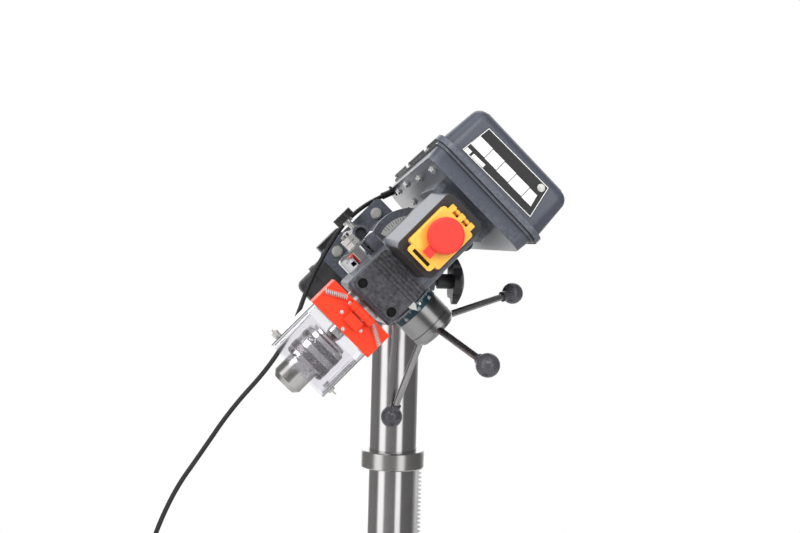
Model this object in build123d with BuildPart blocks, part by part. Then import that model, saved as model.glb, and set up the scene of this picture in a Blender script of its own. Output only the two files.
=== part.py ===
from build123d import *
import os
from math import acos, cos, hypot, pi, radians, sin, sqrt, tan

# A floor drill press whose head, with its motor and belt housing, tilts about a level axis on a
# bracket at the top of the column. Millimetres. +Z is up, +X is the operator's right and the
# operator stands on the -Y side. The origin is on the floor, at the middle of the four foot holes.

os.makedirs("parts", exist_ok=True)

# Fits
run_fit = 0.05
free_gap = 0.4

# Whole machine
tilt_height = 1400.0
head_tilt = 44.0
throat = 216.0

# Base casting
base_width = 300.0
base_length = 460.0
base_height = 45.0
base_corner = 28.0
base_wall = 10.0
base_roof = 16.0
base_slot_length = 150.0
base_slot_width = 14.0
base_slot_spacing = 150.0
base_slot_y = -110.0
foot_pad_radius = 22.0
foot_hole_radius = 6.5
foot_spacing_x = 240.0
foot_spacing_y = 400.0

# Column and its foot flange
column_y = 126.0
column_radius = 36.5
column_wall = 5.0
column_top_drop = 24.0
flange_radius = 76.0
flange_thickness = 16.0
flange_collar_radius = 51.0
flange_collar_height = 64.0
flange_bolt_circle = 65.0
flange_bolt_count = 4
flange_bolt_radius = 5.0
flange_bolt_length = 30.0
flange_bolt_head = 8.5
flange_bolt_head_height = 7.0

# Rack and the collar that holds its upper end
rack_reach = 44.0
rack_width = 24.0
rack_module = 2.0
rack_lap = 9.0
collar_radius = 48.5
collar_height = 26.0
collar_base = 1070.0
collar_chamfer = 1.5
collar_recess = 10.0

# Table and its bracket
bracket_middle = 760.0
bracket_height = 110.0
bracket_radius = 51.0
arm_half_width = 24.0
arm_half_height = 26.0
tilt_pad_radius = 38.0
tilt_pad_y = 138.0
tilt_stud_radius = 10.0
tilt_nut_size = 15.0
tilt_nut_height = 12.0
gear_box_reach = 84.0
gear_box_half_height = 24.0
gear_box_half_width = 20.0
crank_shaft_radius = 8.0
crank_arm_length = 80.0
crank_arm_thickness = 9.0
crank_grip_radius = 11.0
crank_grip_length = 75.0
table_radius = 133.0
table_thickness = 24.0
table_rise = 84.0
table_hub_length = 44.0
table_bore_radius = 16.0
table_slot_length = 84.0
table_slot_width = 13.0
table_slot_middle = 78.0
lock_stud_radius = 5.0
lock_boss_radius = 13.0
lock_boss_reach = 62.0
lock_lever_length = 74.0
lock_lever_radius = 5.0
lock_knob_radius = 10.0

# Swivel bracket on the column top
socket_radius = 51.0
socket_drop = 112.0
barrel_radius = 52.0
barrel_end = 257.0
barrel_round = 9.0
tilt_face = 86.0
rim_radius = 58.0
rim_thickness = 16.0
spigot_radius = 20.0
spigot_length = 34.0
scale_inner = 36.0
scale_outer = 47.0
scale_thickness = 0.8
scale_start = 25.0
scale_sweep = 130.0

# Swivel lock, a star knob on the right of the bracket
star_drop = 46.0
star_boss_radius = 15.0
star_boss_reach = 57.0
star_stud_radius = 6.0
star_bush_radius = 7.0
star_bush_length = 5.0
star_hub_radius = 11.5
star_hub_length = 21.5
star_radius = 36.0
star_thickness = 20.0
star_lobes = 5
star_core_radius = 27.0
star_lobe_radius = 10.5
star_rim = 8.0

# Head casting
head_half_width = 39.0
head_front = 58.0
head_back = 70.0
head_bottom = -106.0
head_top = 60.0
head_corner = 13.0
deck_half_width = 47.0
deck_front = 50.0
deck_back = 70.0
deck_top = 77.0
tilt_disc_radius = 35.4
head_edge = 5.0

# Front cover
cover_thickness = 4.0
cover_half_width = 37.0
cover_bottom = -100.0
cover_top = -38.5
cover_corner = 5.0
cover_hole_radius = 6.5
cover_hole_x = 26.0
cover_hole_z = -91.0
cover_groove_width = 1.4
cover_groove_depth = 1.2
cover_groove_first = -42.5
cover_groove_step = 5.4
cover_groove_count = 5

# Switch box and its front plate
box_left_back = -46.0
box_right_back = 22.5
box_bottom_back = -36.0
box_top_back = 59.0
box_left = -37.5
box_right = 22.5
box_bottom = -36.0
box_top = 58.5
box_depth = 78.0
box_corner = 8.0
box_wall = 3.5
plate_thickness = 3.0
plate_screw_radius = 2.6
plate_screw_height = 1.6
plate_screw_x = -6.0
plate_screw_high = 51.9
plate_screw_low = -32.4

# Switch
switch_x = -6.5
switch_z = 8.5
switch_width = 51.0
switch_height = 61.0
switch_frame = 8.0
switch_corner = 4.0
switch_rear_width = 32.0
switch_rear_height = 46.0
switch_rear_depth = 44.0
switch_rear_z = 15.0
button_well = 5.5
button_radius = 7.0
button_spacing = 17.0
button_stem_radius = 4.0
button_height = 3.0
button_travel = 3.0
flap_thickness = 7.0
flap_pin_radius = 2.0
flap_pin_rise = 5.5
flap_prong = 7.0
flap_prong_spacing = 15.5
flap_knuckle = 4.0
loop_drop = 9.0
loop_half_width = 19.5
loop_window_width = 27.0
loop_window_height = 4.8
paddle_radius = 22.5
paddle_thickness = 9.0
paddle_stem_radius = 6.0
tongue_half_width = 6.3
tongue_drop = 10.4
paddle_x = -5.2
paddle_z = 12.9

# Quill, spindle and chuck
quill_radius = 25.0
quill_bottom = -127.0
quill_top = 44.0
quill_travel = 80.0
quill_bore = 17.0
bearing_height = 14.0
spindle_radius = 12.0
spindle_collar_radius = 19.0
spindle_collar_height = 7.0
spindle_spline_radius = 9.0
spindle_top = 166.0
neck_radius = 11.0
chuck_top = -168.0
chuck_sleeve_bottom = -219.0
chuck_nose = -254.0
chuck_core_radius = 22.5
chuck_nose_radius = 16.5
chuck_nose_chamfer = 6.5
chuck_sleeve_radius = 30.5
chuck_teeth = 20
chuck_knurls = [(-210.5, -200.0), (-191.0, -182.0)]
chuck_knurl_proud = 0.4
jaw_radius = 5.0
jaw_lean = 14.0
jaw_length = 42.0
jaw_travel = 20.0
jaw_gap = 0.5

# Feed shaft, hub, scale ring and handles
feed_z = -58.0
feed_shaft_radius = 9.0
pinion_radius = 12.2
pinion_pitch_radius = 12.0
pinion_length = 30.0
pinion_teeth = 14
feed_boss_radius = 31.0
feed_boss_end = 47.5
ring_radius = 33.5
ring_end = 60.5
hub_radius = 33.0
hub_groove = 85.0
hub_end = 102.0
hub_round = 6.0
handle_count = 3
handle_radius = 4.8
handle_root_x = 93.0
handle_root_radius = 20.0
ball_x = 153.0
ball_circle = 144.0
ball_radius = 15.5
ball_neck_radius = 7.5
ball_neck = 5.0
handle_turn = 1.5

# Return spring housing and its nuts
cup_radius = 32.0
cup_outer = -61.5
cup_wall = 1.5
cup_window = 6.0
cup_lug_front = -17.0
cup_lug_back = 4.0
cup_lug_low = -47.0
cup_lug_high = -32.0
feed_shaft_left = -82.0
jam_nut_size = 11.5
jam_nut_height = 7.0

# Motor, its plate and its slide bars
bar_radius = 8.0
bar_left_x = -66.0
bar_left_z = -36.0
bar_right_x = 46.0
bar_right_z = 59.0
bar_boss_radius = 12.0
bar_boss_front = 68.5
bar_boss_length = 42.0
bar_web = 13.0
bar_recess = 24.0
motor_plate_y = 282.0
motor_plate_thickness = 8.0
motor_plate_half_width = 76.0
motor_plate_bottom = -88.0
motor_plate_top = 44.0
motor_plate_corner = 8.0
motor_ear_left = 28.0
motor_ear_top = 70.0
motor_bolt_x = 60.0
motor_bolt_low = -63.0
motor_bolt_high = 23.0
motor_bolt_radius = 4.0
motor_bolt_flange = 8.8
motor_bolt_height = 6.5
motor_height = 71.0
motor_radius = 67.0
motor_band_radius = 68.5
motor_band = 9.0
motor_low = -112.0
motor_high = 30.0
motor_shield_radius = 46.0
motor_shield_height = 14.0
foot_thickness = 9.0
foot_half_span = 74.0
pedestal_half_width = 44.0
fan_cover_radius = 64.0
fan_cover_bottom = -146.0
fan_cover_wall = 2.0
fan_cover_round = 12.0
terminal_reach = 84.0
terminal_low = -78.0
terminal_high = -32.0
terminal_half_width = 26.0
motor_shaft_radius = 9.5
motor_travel = 6.0
tension_y = 92.0
tension_stud_radius = 4.0
tension_knob_radius = 15.0
tension_knob_start = -92.0
tension_knob_end = -103.0

# Pulleys and belt
pulley_low = 86.0
pulley_step = 13.5
pulley_radii = [56.0, 48.0, 40.0, 32.0, 24.0]
groove_depth = 7.0
groove_mouth = 10.0
groove_floor = 6.0
sleeve_radius = 16.0
sleeve_bottom = 50.0
belt_step = 2
belt_outer_width = 9.0
belt_inner_width = 5.4
belt_clearance = 0.6

# Belt housing
tray_front = -92.5
tray_back = 421.0
tray_half_front = 83.0
tray_half_back = 65.5
tray_floor = 3.0
tray_top = 101.0
tray_wall = 3.0
tray_draft = 7.0
tray_lip = 4.0
lid_overhang = 6.0
lid_top = 174.0
lid_wall = 3.0
lid_draft = 4.6
lid_rim_height = 8.0
lid_rim_proud = 5.0
lid_round = 15.0
lid_panel_step = 1.6
lid_panel_inset = 15.0
housing_front_corner = 15.0
housing_back_corner = 48.0
deck_window_radius = 26.0
shaft_window_radius = 26.0
hinge_radius = 3.0
hinge_spots = [-7.0, 190.0, 365.0]
hinge_inset = 2.6
hinge_length = 24.0
hinge_leaf = 1.5

# Chuck guard
guard_ring_radius = 33.0
guard_ring_top = -114.0
guard_ring_height = 12.0
guard_pin_y = -70.0
guard_pin_z = -119.0
guard_pin_radius = 3.0
guard_block_half = 13.0
guard_knuckle_radius = 6.0
guard_half_width = 50.0
guard_front = -62.0
guard_plate = 5.0
guard_top = -113.5
guard_bottom = -153.0
guard_side_back = -14.0
guard_x = -4.0
guard_clip = 7.0
guard_clip_half = 11.0
guard_clip_low = -141.0
guard_clip_high = -127.0
guard_crown_half = 22.0
shield_half_width = 47.0
shield_top = -135.0
shield_bottom = -228.0
shield_wall = 2.5
shield_back = 30.0
shield_corner = 9.0
slider_wall = 2.0
slider_top = -166.0
slider_bottom = -225.0
slider_travel = 40.0
wing_z = -215.0
wing_y = -14.0
wing_bolt_radius = 2.5
wing_hub_radius = 5.0
wing_span = 13.0
guard_spring_radius = 3.1
guard_spring_wire = 1.1
guard_spring_turns = 11
guard_spring_low = -132.0

# Supply cord: gland, hanging run, coil and plug
cord_radius = 3.5
cord_lap = 9.0
gland_x = -63.5
gland_y = 334.0
gland_flange = 4.0
gland_radius = 9.5
gland_relief = 22.0
gland_relief_radius = 5.5
coil_radius = 42.0
coil_pitch = 8.2
coil_rise = 8.2
coil_exit_radius = 52.0
plug_radius = 19.0
plug_length = 42.0
plug_relief = 32.0
plug_relief_radius = 7.0
plug_pin_radius = 2.4
plug_pin_length = 19.0
plug_pin_spacing = 19.0

# Frames. The head's own frame starts where the spindle crosses the height of the tilt axis:
# x to the head's right, y to the rear, z up along the spindle.
spindle_y = column_y - throat
feed_y = quill_radius - 1 + pinion_pitch_radius
column_top = tilt_height - column_top_drop
tilt = radians(head_tilt)
right = Vector(cos(tilt), 0, -sin(tilt))
up = Vector(sin(tilt), 0, cos(tilt))
head = Plane(origin=(0, spindle_y, tilt_height), x_dir=right, z_dir=up)
spindle_axis = Axis(head.origin, up)
column_turn = Plane(origin=(0, column_y, 0), x_dir=(1, 0, 0), z_dir=(0, -1, 0))


def across(z):
    """Plane square to the spindle, drawn in head x and y, facing up the spindle."""
    return head.offset(z)


def facing(y):
    """Plane drawn in head x and z, facing the operator."""
    return Plane(origin=head.from_local_coords((0, y, 0)), x_dir=right, z_dir=(0, -1, 0))


def sideways(x):
    """Plane drawn in head y and z, facing the head's right."""
    return Plane(origin=head.from_local_coords((x, 0, 0)), x_dir=(0, 1, 0), z_dir=right)


def feed_line():
    """Plane for turned pieces on the feed shaft: radius first, then head x."""
    return Plane(origin=head.from_local_coords((0, feed_y, feed_z)), x_dir=up, z_dir=(0, 1, 0))


def front_of(y):
    """Upright plane drawn in X and Z, facing the operator."""
    return Plane(origin=(0, y, 0), x_dir=(1, 0, 0), z_dir=(0, -1, 0))


def right_of(x):
    """Upright plane drawn in Y and Z, facing the operator's right."""
    return Plane(origin=(x, 0, 0), x_dir=(0, 1, 0), z_dir=(1, 0, 0))


def rod(plane, radius, length, at=(0, 0), mode=Mode.ADD):
    """Round bar standing on a plane."""
    with BuildSketch(plane) as outline:
        with Locations(at):
            Circle(radius)
    extrude(outline.sketch, amount=length, mode=mode)


def slab(plane, low, high, length, corner=0.0, mode=Mode.ADD):
    """Rectangular bar standing on a plane, given by two opposite corners."""
    middle = ((low[0] + high[0]) / 2, (low[1] + high[1]) / 2)
    with BuildSketch(plane) as outline:
        with Locations(middle):
            if corner > 0:
                RectangleRounded(high[0] - low[0], high[1] - low[1], corner)
            else:
                Rectangle(high[0] - low[0], high[1] - low[1])
    extrude(outline.sketch, amount=length, mode=mode)


def hexagon(plane, size, length, at=(0, 0), mode=Mode.ADD):
    """Six-sided bar standing on a plane, size measured to the corners."""
    with BuildSketch(plane) as outline:
        with Locations(at):
            RegularPolygon(size, 6)
    extrude(outline.sketch, amount=length, mode=mode)


def prism(plane, points, length, mode=Mode.ADD):
    """Bar standing on a plane, outlined by points."""
    with BuildSketch(plane) as outline:
        with BuildLine():
            Polyline(*points, close=True)
        make_face()
    extrude(outline.sketch, amount=length, mode=mode)


def turned(plane, points, mode=Mode.ADD):
    """Turned piece: points give radius and place along the plane's own y axis."""
    with BuildSketch(plane) as outline:
        with BuildLine():
            Polyline(*points, close=True)
        make_face()
    revolve(outline.sketch, axis=Axis(plane.origin, plane.y_dir), mode=mode)


# Base casting, hollow underneath, with two work slots
with BuildPart() as base:
    slab(Plane.XY, (-base_width / 2, -base_length / 2), (base_width / 2, base_length / 2),
         base_height, base_corner)
    fillet(base.faces().sort_by(Axis.Z)[-1].edges(), radius=5)
    slab(Plane.XY, (base_wall - base_width / 2, base_wall - base_length / 2),
         (base_width / 2 - base_wall, base_length / 2 - base_wall),
         base_height - base_roof, base_corner - base_wall, mode=Mode.SUBTRACT)
    with BuildSketch():
        with Locations((0, column_y)):
            Circle(flange_radius)
        with GridLocations(foot_spacing_x, foot_spacing_y, 2, 2):
            Circle(foot_pad_radius)
    extrude(amount=base_height - base_roof)
    with BuildSketch():
        with Locations((0, base_slot_y)):
            with GridLocations(base_slot_spacing, 0, 2, 1):
                SlotOverall(base_slot_length, base_slot_width, rotation=90)
        with GridLocations(foot_spacing_x, foot_spacing_y, 2, 2):
            Circle(foot_hole_radius)
    extrude(amount=base_height, mode=Mode.SUBTRACT)
    with BuildSketch(Plane.XY.offset(base_height)):
        with Locations((0, column_y)):
            with PolarLocations(flange_bolt_circle, flange_bolt_count, start_angle=45):
                Circle(flange_bolt_radius)
    extrude(amount=flange_thickness - flange_bolt_length, mode=Mode.SUBTRACT)

# Flange that stands the column on the base
flange_face = base_height + flange_thickness
flange_head = base_height + flange_collar_height
with BuildPart() as column_flange:
    turned(column_turn, [
        (column_radius, base_height), (flange_radius - 2, base_height),
        (flange_radius, base_height + 2), (flange_radius, flange_face - 3),
        (flange_radius - 3, flange_face), (flange_collar_radius + 4, flange_face),
        (flange_collar_radius, flange_face + 6), (flange_collar_radius, flange_head - 2),
        (flange_collar_radius - 2, flange_head), (column_radius, flange_head)])
    with BuildSketch(Plane.XY.offset(base_height)):
        with Locations((0, column_y)):
            with PolarLocations(flange_bolt_circle, flange_bolt_count, start_angle=45):
                Circle(flange_bolt_radius + free_gap)
    extrude(amount=flange_thickness, mode=Mode.SUBTRACT)

with BuildPart() as flange_bolts:
    with BuildSketch(Plane.XY.offset(flange_face)):
        with Locations((0, column_y)):
            with PolarLocations(flange_bolt_circle, flange_bolt_count, start_angle=45):
                RegularPolygon(flange_bolt_head, 6)
    extrude(amount=flange_bolt_head_height)
    with BuildSketch(Plane.XY.offset(flange_face)):
        with Locations((0, column_y)):
            with PolarLocations(flange_bolt_circle, flange_bolt_count, start_angle=45):
                Circle(flange_bolt_radius)
    extrude(amount=-flange_bolt_length)

# Column tube
with BuildPart() as column:
    turned(column_turn, [
        (column_radius - column_wall, base_height), (column_radius, base_height),
        (column_radius, column_top), (column_radius - column_wall, column_top)])

# Rack, standing on the flange with its upper end under the collar
rack_pitch = pi * rack_module
rack_root = rack_reach - 2.25 * rack_module
rack_flank = 2.25 * rack_module * tan(radians(20))
rack_tip = 0.24 * rack_pitch
rack_top = collar_base + rack_lap
rack_teeth = int((rack_top - flange_head) / rack_pitch)
rack_line = [(rack_root, flange_head)]
for tooth in range(rack_teeth):
    tooth_base = flange_head + (tooth + 1) * rack_pitch
    rack_line.append((rack_root, tooth_base - 2 * rack_flank - rack_tip))
    rack_line.append((rack_reach, tooth_base - rack_flank - rack_tip))
    rack_line.append((rack_reach, tooth_base - rack_flank))
    rack_line.append((rack_root, tooth_base))
rack_line.append((rack_root, rack_top))
rack_line.append((column_radius - 8, rack_top))
rack_line.append((column_radius - 8, flange_head))
with BuildPart() as rack:
    prism(front_of(column_y + rack_width / 2), rack_line, rack_width)
    rod(Plane(origin=(0, column_y, flange_head)), column_radius + run_fit,
        rack_top - flange_head, mode=Mode.SUBTRACT)

collar_top = collar_base + collar_height
recess_radius = hypot(rack_reach, rack_width / 2) + free_gap
with BuildPart() as rack_collar:
    turned(column_turn, [
        (recess_radius, collar_base), (collar_radius - collar_chamfer, collar_base),
        (collar_radius, collar_base + collar_chamfer), (collar_radius, collar_top - collar_chamfer),
        (collar_radius - collar_chamfer, collar_top), (column_radius, collar_top),
        (column_radius, collar_base + collar_recess),
        (recess_radius, collar_base + collar_recess)])

# Table bracket: sleeve on the column, gear box round the rack, arm with the tilt face
bracket_low = bracket_middle - bracket_height / 2
bracket_high = bracket_middle + bracket_height / 2
pad_y = column_y - tilt_pad_y
crank_y = column_y + 25
with BuildPart() as table_bracket:
    turned(column_turn, [
        (column_radius - 5, bracket_low), (bracket_radius - 3, bracket_low),
        (bracket_radius, bracket_low + 3), (bracket_radius, bracket_high - 3),
        (bracket_radius - 3, bracket_high), (column_radius - 5, bracket_high)])
    slab(right_of(column_radius + 2),
         (column_y - gear_box_half_width, bracket_middle - gear_box_half_height),
         (crank_y + gear_box_half_width, bracket_middle + gear_box_half_height),
         gear_box_reach - column_radius - 2, 8)
    slab(front_of(column_y), (-arm_half_width, bracket_middle - arm_half_height),
         (arm_half_width, bracket_middle + arm_half_height), tilt_pad_y - 8, 6)
    rod(front_of(pad_y + 14), tilt_pad_radius, 14, (0, bracket_middle))
    rod(front_of(pad_y), tilt_stud_radius, table_hub_length + tilt_nut_height, (0, bracket_middle))
    hexagon(front_of(pad_y - table_hub_length), tilt_nut_size, tilt_nut_height, (0, bracket_middle))
    rod(right_of(-column_radius), lock_boss_radius, column_radius - lock_boss_reach,
        (column_y, bracket_middle))
    rod(Plane(origin=(0, column_y, bracket_low)), column_radius + run_fit, bracket_height,
        mode=Mode.SUBTRACT)
    slab(Plane.XY.offset(bracket_low), (column_radius - 8, column_y - rack_width / 2 - free_gap),
         (rack_reach + free_gap, column_y + rack_width / 2 + free_gap), bracket_height,
         mode=Mode.SUBTRACT)
    rod(right_of(rack_reach + 8), crank_shaft_radius + run_fit, gear_box_reach, (crank_y, bracket_middle),
        mode=Mode.SUBTRACT)
    rod(right_of(-column_radius + 1), lock_stud_radius + run_fit, -lock_boss_reach,
        (column_y, bracket_middle), mode=Mode.SUBTRACT)

with BuildPart() as table_crank:
    crank_low = bracket_middle - crank_arm_length
    rod(right_of(rack_reach + 9), crank_shaft_radius, gear_box_reach + 15 - rack_reach - 9,
        (crank_y, bracket_middle))
    rod(right_of(gear_box_reach + 1), crank_shaft_radius + 5, 5 + crank_arm_thickness,
        (crank_y, bracket_middle))
    with BuildSketch(right_of(gear_box_reach + 6)):
        with Locations((crank_y, (bracket_middle + crank_low) / 2)):
            SlotCenterToCenter(crank_arm_length, 24, rotation=90)
    extrude(amount=crank_arm_thickness)
    rod(right_of(gear_box_reach + 6), crank_grip_radius - 4, crank_arm_thickness + 4, (crank_y, crank_low))
    rod(right_of(gear_box_reach + 10 + crank_arm_thickness), crank_grip_radius, crank_grip_length,
        (crank_y, crank_low))
    fillet(table_crank.faces().sort_by(Axis.X)[-1].edges(), radius=4)

with BuildPart() as table_lock:
    lever_x = -lock_boss_reach - 1
    rod(right_of(-column_radius - free_gap), lock_stud_radius, lever_x - 14 + column_radius,
        (column_y, bracket_middle))
    rod(right_of(lever_x), lock_stud_radius + 5, -14, (column_y, bracket_middle))
    lever_tip = Plane(origin=(lever_x - 7, column_y, bracket_middle), x_dir=(1, 0, 0),
                      z_dir=(0, cos(radians(25)), -sin(radians(25))))
    rod(lever_tip, lock_lever_radius, lock_lever_length)
    with Locations(lever_tip.offset(lock_lever_length + 5).origin):
        Sphere(lock_knob_radius)

# Round table with its hub, web and slots
table_top = bracket_middle + table_rise
table_under = table_top - table_thickness
with BuildPart() as table:
    with BuildSketch(Plane.XY.offset(table_under)):
        with Locations((0, spindle_y)):
            Circle(table_radius)
    extrude(amount=table_thickness)
    chamfer(table.edges().filter_by(GeomType.CIRCLE), length=2)
    rod(front_of(pad_y), tilt_pad_radius, table_hub_length, (0, bracket_middle))
    slab(front_of(pad_y), (-tilt_pad_radius + 8, bracket_middle), (tilt_pad_radius - 8, table_under + 2),
         table_hub_length)
    slab(Plane.XY.offset(table_under - 16), (-9, spindle_y - table_radius + 18),
         (9, spindle_y + table_radius - 18), 18)
    slab(Plane.XY.offset(table_under - 16), (-table_radius + 18, spindle_y - 9),
         (table_radius - 18, spindle_y + 9), 18)
    rod(front_of(pad_y), tilt_stud_radius + run_fit, table_hub_length, (0, bracket_middle),
        mode=Mode.SUBTRACT)
    slab(front_of(pad_y - table_hub_length), (-18, bracket_middle - 18),
         (18, bracket_middle + 18), tilt_nut_height + 6, mode=Mode.SUBTRACT)
    with BuildSketch(Plane.XY.offset(table_top)):
        with Locations((0, spindle_y)):
            Circle(table_bore_radius)
            with PolarLocations(table_slot_middle, 4, start_angle=45):
                SlotOverall(table_slot_length, table_slot_width)
    extrude(amount=-table_thickness - 17, mode=Mode.SUBTRACT)

# Bracket on the column top: upright socket, level barrel and the rim that carries the angle scale
socket_low = tilt_height - socket_drop
barrel_start = tilt_face + rim_thickness
star_z = tilt_height - star_drop
with BuildPart() as carrier:
    turned(column_turn, [
        (0, socket_low), (socket_radius - 2, socket_low), (socket_radius, socket_low + 2),
        (socket_radius, tilt_height), (0, tilt_height)])
    rod(front_of(spindle_y + barrel_end), barrel_radius, barrel_end - tilt_face, (0, tilt_height))
    fillet(carrier.edges().filter_by(GeomType.CIRCLE).sort_by(Axis.Y)[-1], radius=barrel_round)
    rod(front_of(spindle_y + barrel_start), rim_radius, rim_thickness, (0, tilt_height))
    rod(right_of(0), star_boss_radius, star_boss_reach, (column_y, star_z))
    rod(Plane(origin=(0, column_y, socket_low)), column_radius + run_fit, column_top - socket_low,
        mode=Mode.SUBTRACT)
    rod(front_of(spindle_y + tilt_face), spigot_radius + run_fit, -spigot_length - 2, (0, tilt_height),
        mode=Mode.SUBTRACT)
    rod(right_of(column_radius - 2), star_stud_radius + run_fit, star_boss_reach, (column_y, star_z),
        mode=Mode.SUBTRACT)

# Angle scale on the rim
with BuildPart() as angle_scale:
    with BuildSketch(front_of(spindle_y + tilt_face)):
        with BuildLine():
            outer_arc = CenterArc((0, tilt_height), scale_outer, scale_start, scale_sweep)
            inner_arc = CenterArc((0, tilt_height), scale_inner, scale_start, scale_sweep)
            Line(outer_arc @ 0, inner_arc @ 0)
            Line(outer_arc @ 1, inner_arc @ 1)
        make_face()
    extrude(amount=scale_thickness)

# Star knob that locks the swivel
star_face = star_boss_reach + star_bush_length + star_hub_length
star_rise = star_thickness - star_rim
star_dome = (star_rise ** 2 + star_radius ** 2) / (2 * star_rise)
with BuildPart() as star_knob:
    with BuildSketch(right_of(star_face)):
        with Locations((column_y, star_z)):
            Circle(star_core_radius)
            with PolarLocations(star_radius - star_lobe_radius, star_lobes, start_angle=180):
                Circle(star_lobe_radius)
    extrude(amount=star_thickness)
    with Locations((star_face + star_thickness - star_dome, column_y, star_z)):
        Sphere(star_dome, mode=Mode.INTERSECT)
    rod(right_of(column_radius + free_gap), star_stud_radius, star_face - column_radius, (column_y, star_z))
    rod(right_of(star_boss_reach + 0.5), star_bush_radius, star_bush_length, (column_y, star_z))
    rod(right_of(star_boss_reach + star_bush_length), star_hub_radius, star_hub_length + 2,
        (column_y, star_z))

# Head casting
bar_places = ((bar_left_x, bar_left_z), (bar_right_x, bar_right_z))
disc_front = head_back - 6
bore_top = quill_top + 2
with BuildPart() as head_casting:
    slab(across(head_bottom), (-head_half_width, -head_front), (head_half_width, head_back),
         head_top - head_bottom, head_corner)
    fillet(head_casting.faces().sort_by(spindle_axis)[0].edges(), radius=head_edge)
    slab(across(head_top), (-deck_half_width, -deck_front), (deck_half_width, deck_back),
         deck_top - head_top, head_corner)
    rod(facing(tilt_face), tilt_disc_radius, tilt_face - disc_front)
    rod(facing(tilt_face + spigot_length), spigot_radius, spigot_length + 2)
    rod(sideways(head_half_width), feed_boss_radius, feed_boss_end - head_half_width, (feed_y, feed_z))
    slab(facing(cup_lug_back), (cup_outer, cup_lug_low), (0, cup_lug_high), cup_lug_back - cup_lug_front, 1.5)
    for place in bar_places:
        rod(facing(bar_boss_front + bar_boss_length), bar_boss_radius, bar_boss_length, place)
    slab(facing(bar_boss_front + bar_web), (bar_left_x, bar_left_z - 10), (0, bar_left_z + 10), bar_web)
    slab(facing(bar_boss_front + bar_web), (0, bar_right_z - 10), (bar_right_x, bar_right_z + 10), bar_web)
    rod(across(head_bottom), quill_radius + run_fit, bore_top - head_bottom, mode=Mode.SUBTRACT)
    rod(across(bore_top), sleeve_radius + run_fit, deck_top - bore_top, mode=Mode.SUBTRACT)
    rod(sideways(-head_half_width), feed_shaft_radius + run_fit, 2 * head_half_width, (feed_y, feed_z),
        mode=Mode.SUBTRACT)
    rod(sideways(-pinion_length / 2 - free_gap), pinion_radius + 0.8 + run_fit,
        feed_boss_end + pinion_length / 2 + free_gap, (feed_y, feed_z), mode=Mode.SUBTRACT)
    for place in bar_places:
        rod(facing(bar_boss_front + bar_boss_length), bar_radius + run_fit, bar_boss_length, place,
            mode=Mode.SUBTRACT)
    rod(sideways(bar_left_x - bar_boss_radius - 1), tension_stud_radius + run_fit, bar_boss_radius,
        (tension_y, bar_left_z), mode=Mode.SUBTRACT)
    for side in (-1, 1):
        rod(facing(-head_front), cover_hole_radius, -8, (side * cover_hole_x, cover_hole_z),
            mode=Mode.SUBTRACT)

# Grooved front cover
with BuildPart() as front_cover:
    slab(facing(-head_front), (-cover_half_width, cover_bottom), (cover_half_width, cover_top),
         cover_thickness, cover_corner)
    for groove in range(cover_groove_count):
        z = cover_groove_first - groove * cover_groove_step
        slab(facing(-head_front - cover_thickness), (-cover_half_width, z - cover_groove_width / 2),
             (cover_half_width, z + cover_groove_width / 2), -cover_groove_depth, mode=Mode.SUBTRACT)
    for side in (-1, 1):
        rod(facing(-head_front), cover_hole_radius, cover_thickness, (side * cover_hole_x, cover_hole_z),
            mode=Mode.SUBTRACT)


def box_outline(y, left, low, wide, high, corner):
    """Rounded rectangle on a plane that faces the operator."""
    with BuildSketch(facing(y)) as outline:
        with Locations(((left + wide) / 2, (low + high) / 2)):
            RectangleRounded(wide - left, high - low, corner)
    return outline.sketch


# Switch box, flared towards the head, open at the back
box_front = -head_front - box_depth
with BuildPart() as switch_box:
    loft([box_outline(-head_front, box_left_back, box_bottom_back, box_right_back, box_top_back,
                      box_corner),
          box_outline(box_front, box_left, box_bottom, box_right, box_top, box_corner)])
    loft([box_outline(-head_front, box_left_back + box_wall, box_bottom_back + box_wall,
                      box_right_back - box_wall, box_top_back - box_wall, box_corner - box_wall),
          box_outline(box_front, box_left + box_wall, box_bottom + box_wall,
                      box_right - box_wall, box_top - box_wall, box_corner - box_wall)],
         mode=Mode.SUBTRACT)

plate_face = box_front - plate_thickness
rear_low = (switch_x - switch_rear_width / 2, switch_rear_z - switch_rear_height / 2)
rear_high = (switch_x + switch_rear_width / 2, switch_rear_z + switch_rear_height / 2)
with BuildPart() as switch_plate:
    slab(facing(box_front), (box_left, box_bottom), (box_right, box_top), plate_thickness, box_corner)
    fillet(switch_plate.faces().sort_by(Axis.Y)[0].edges(), radius=1.2)
    slab(facing(box_front), rear_low, rear_high, plate_thickness, 3, mode=Mode.SUBTRACT)

with BuildPart() as panel_screws:
    for z in (plate_screw_high, plate_screw_low):
        rod(facing(plate_face), plate_screw_radius, plate_screw_height, (plate_screw_x, z))

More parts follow.
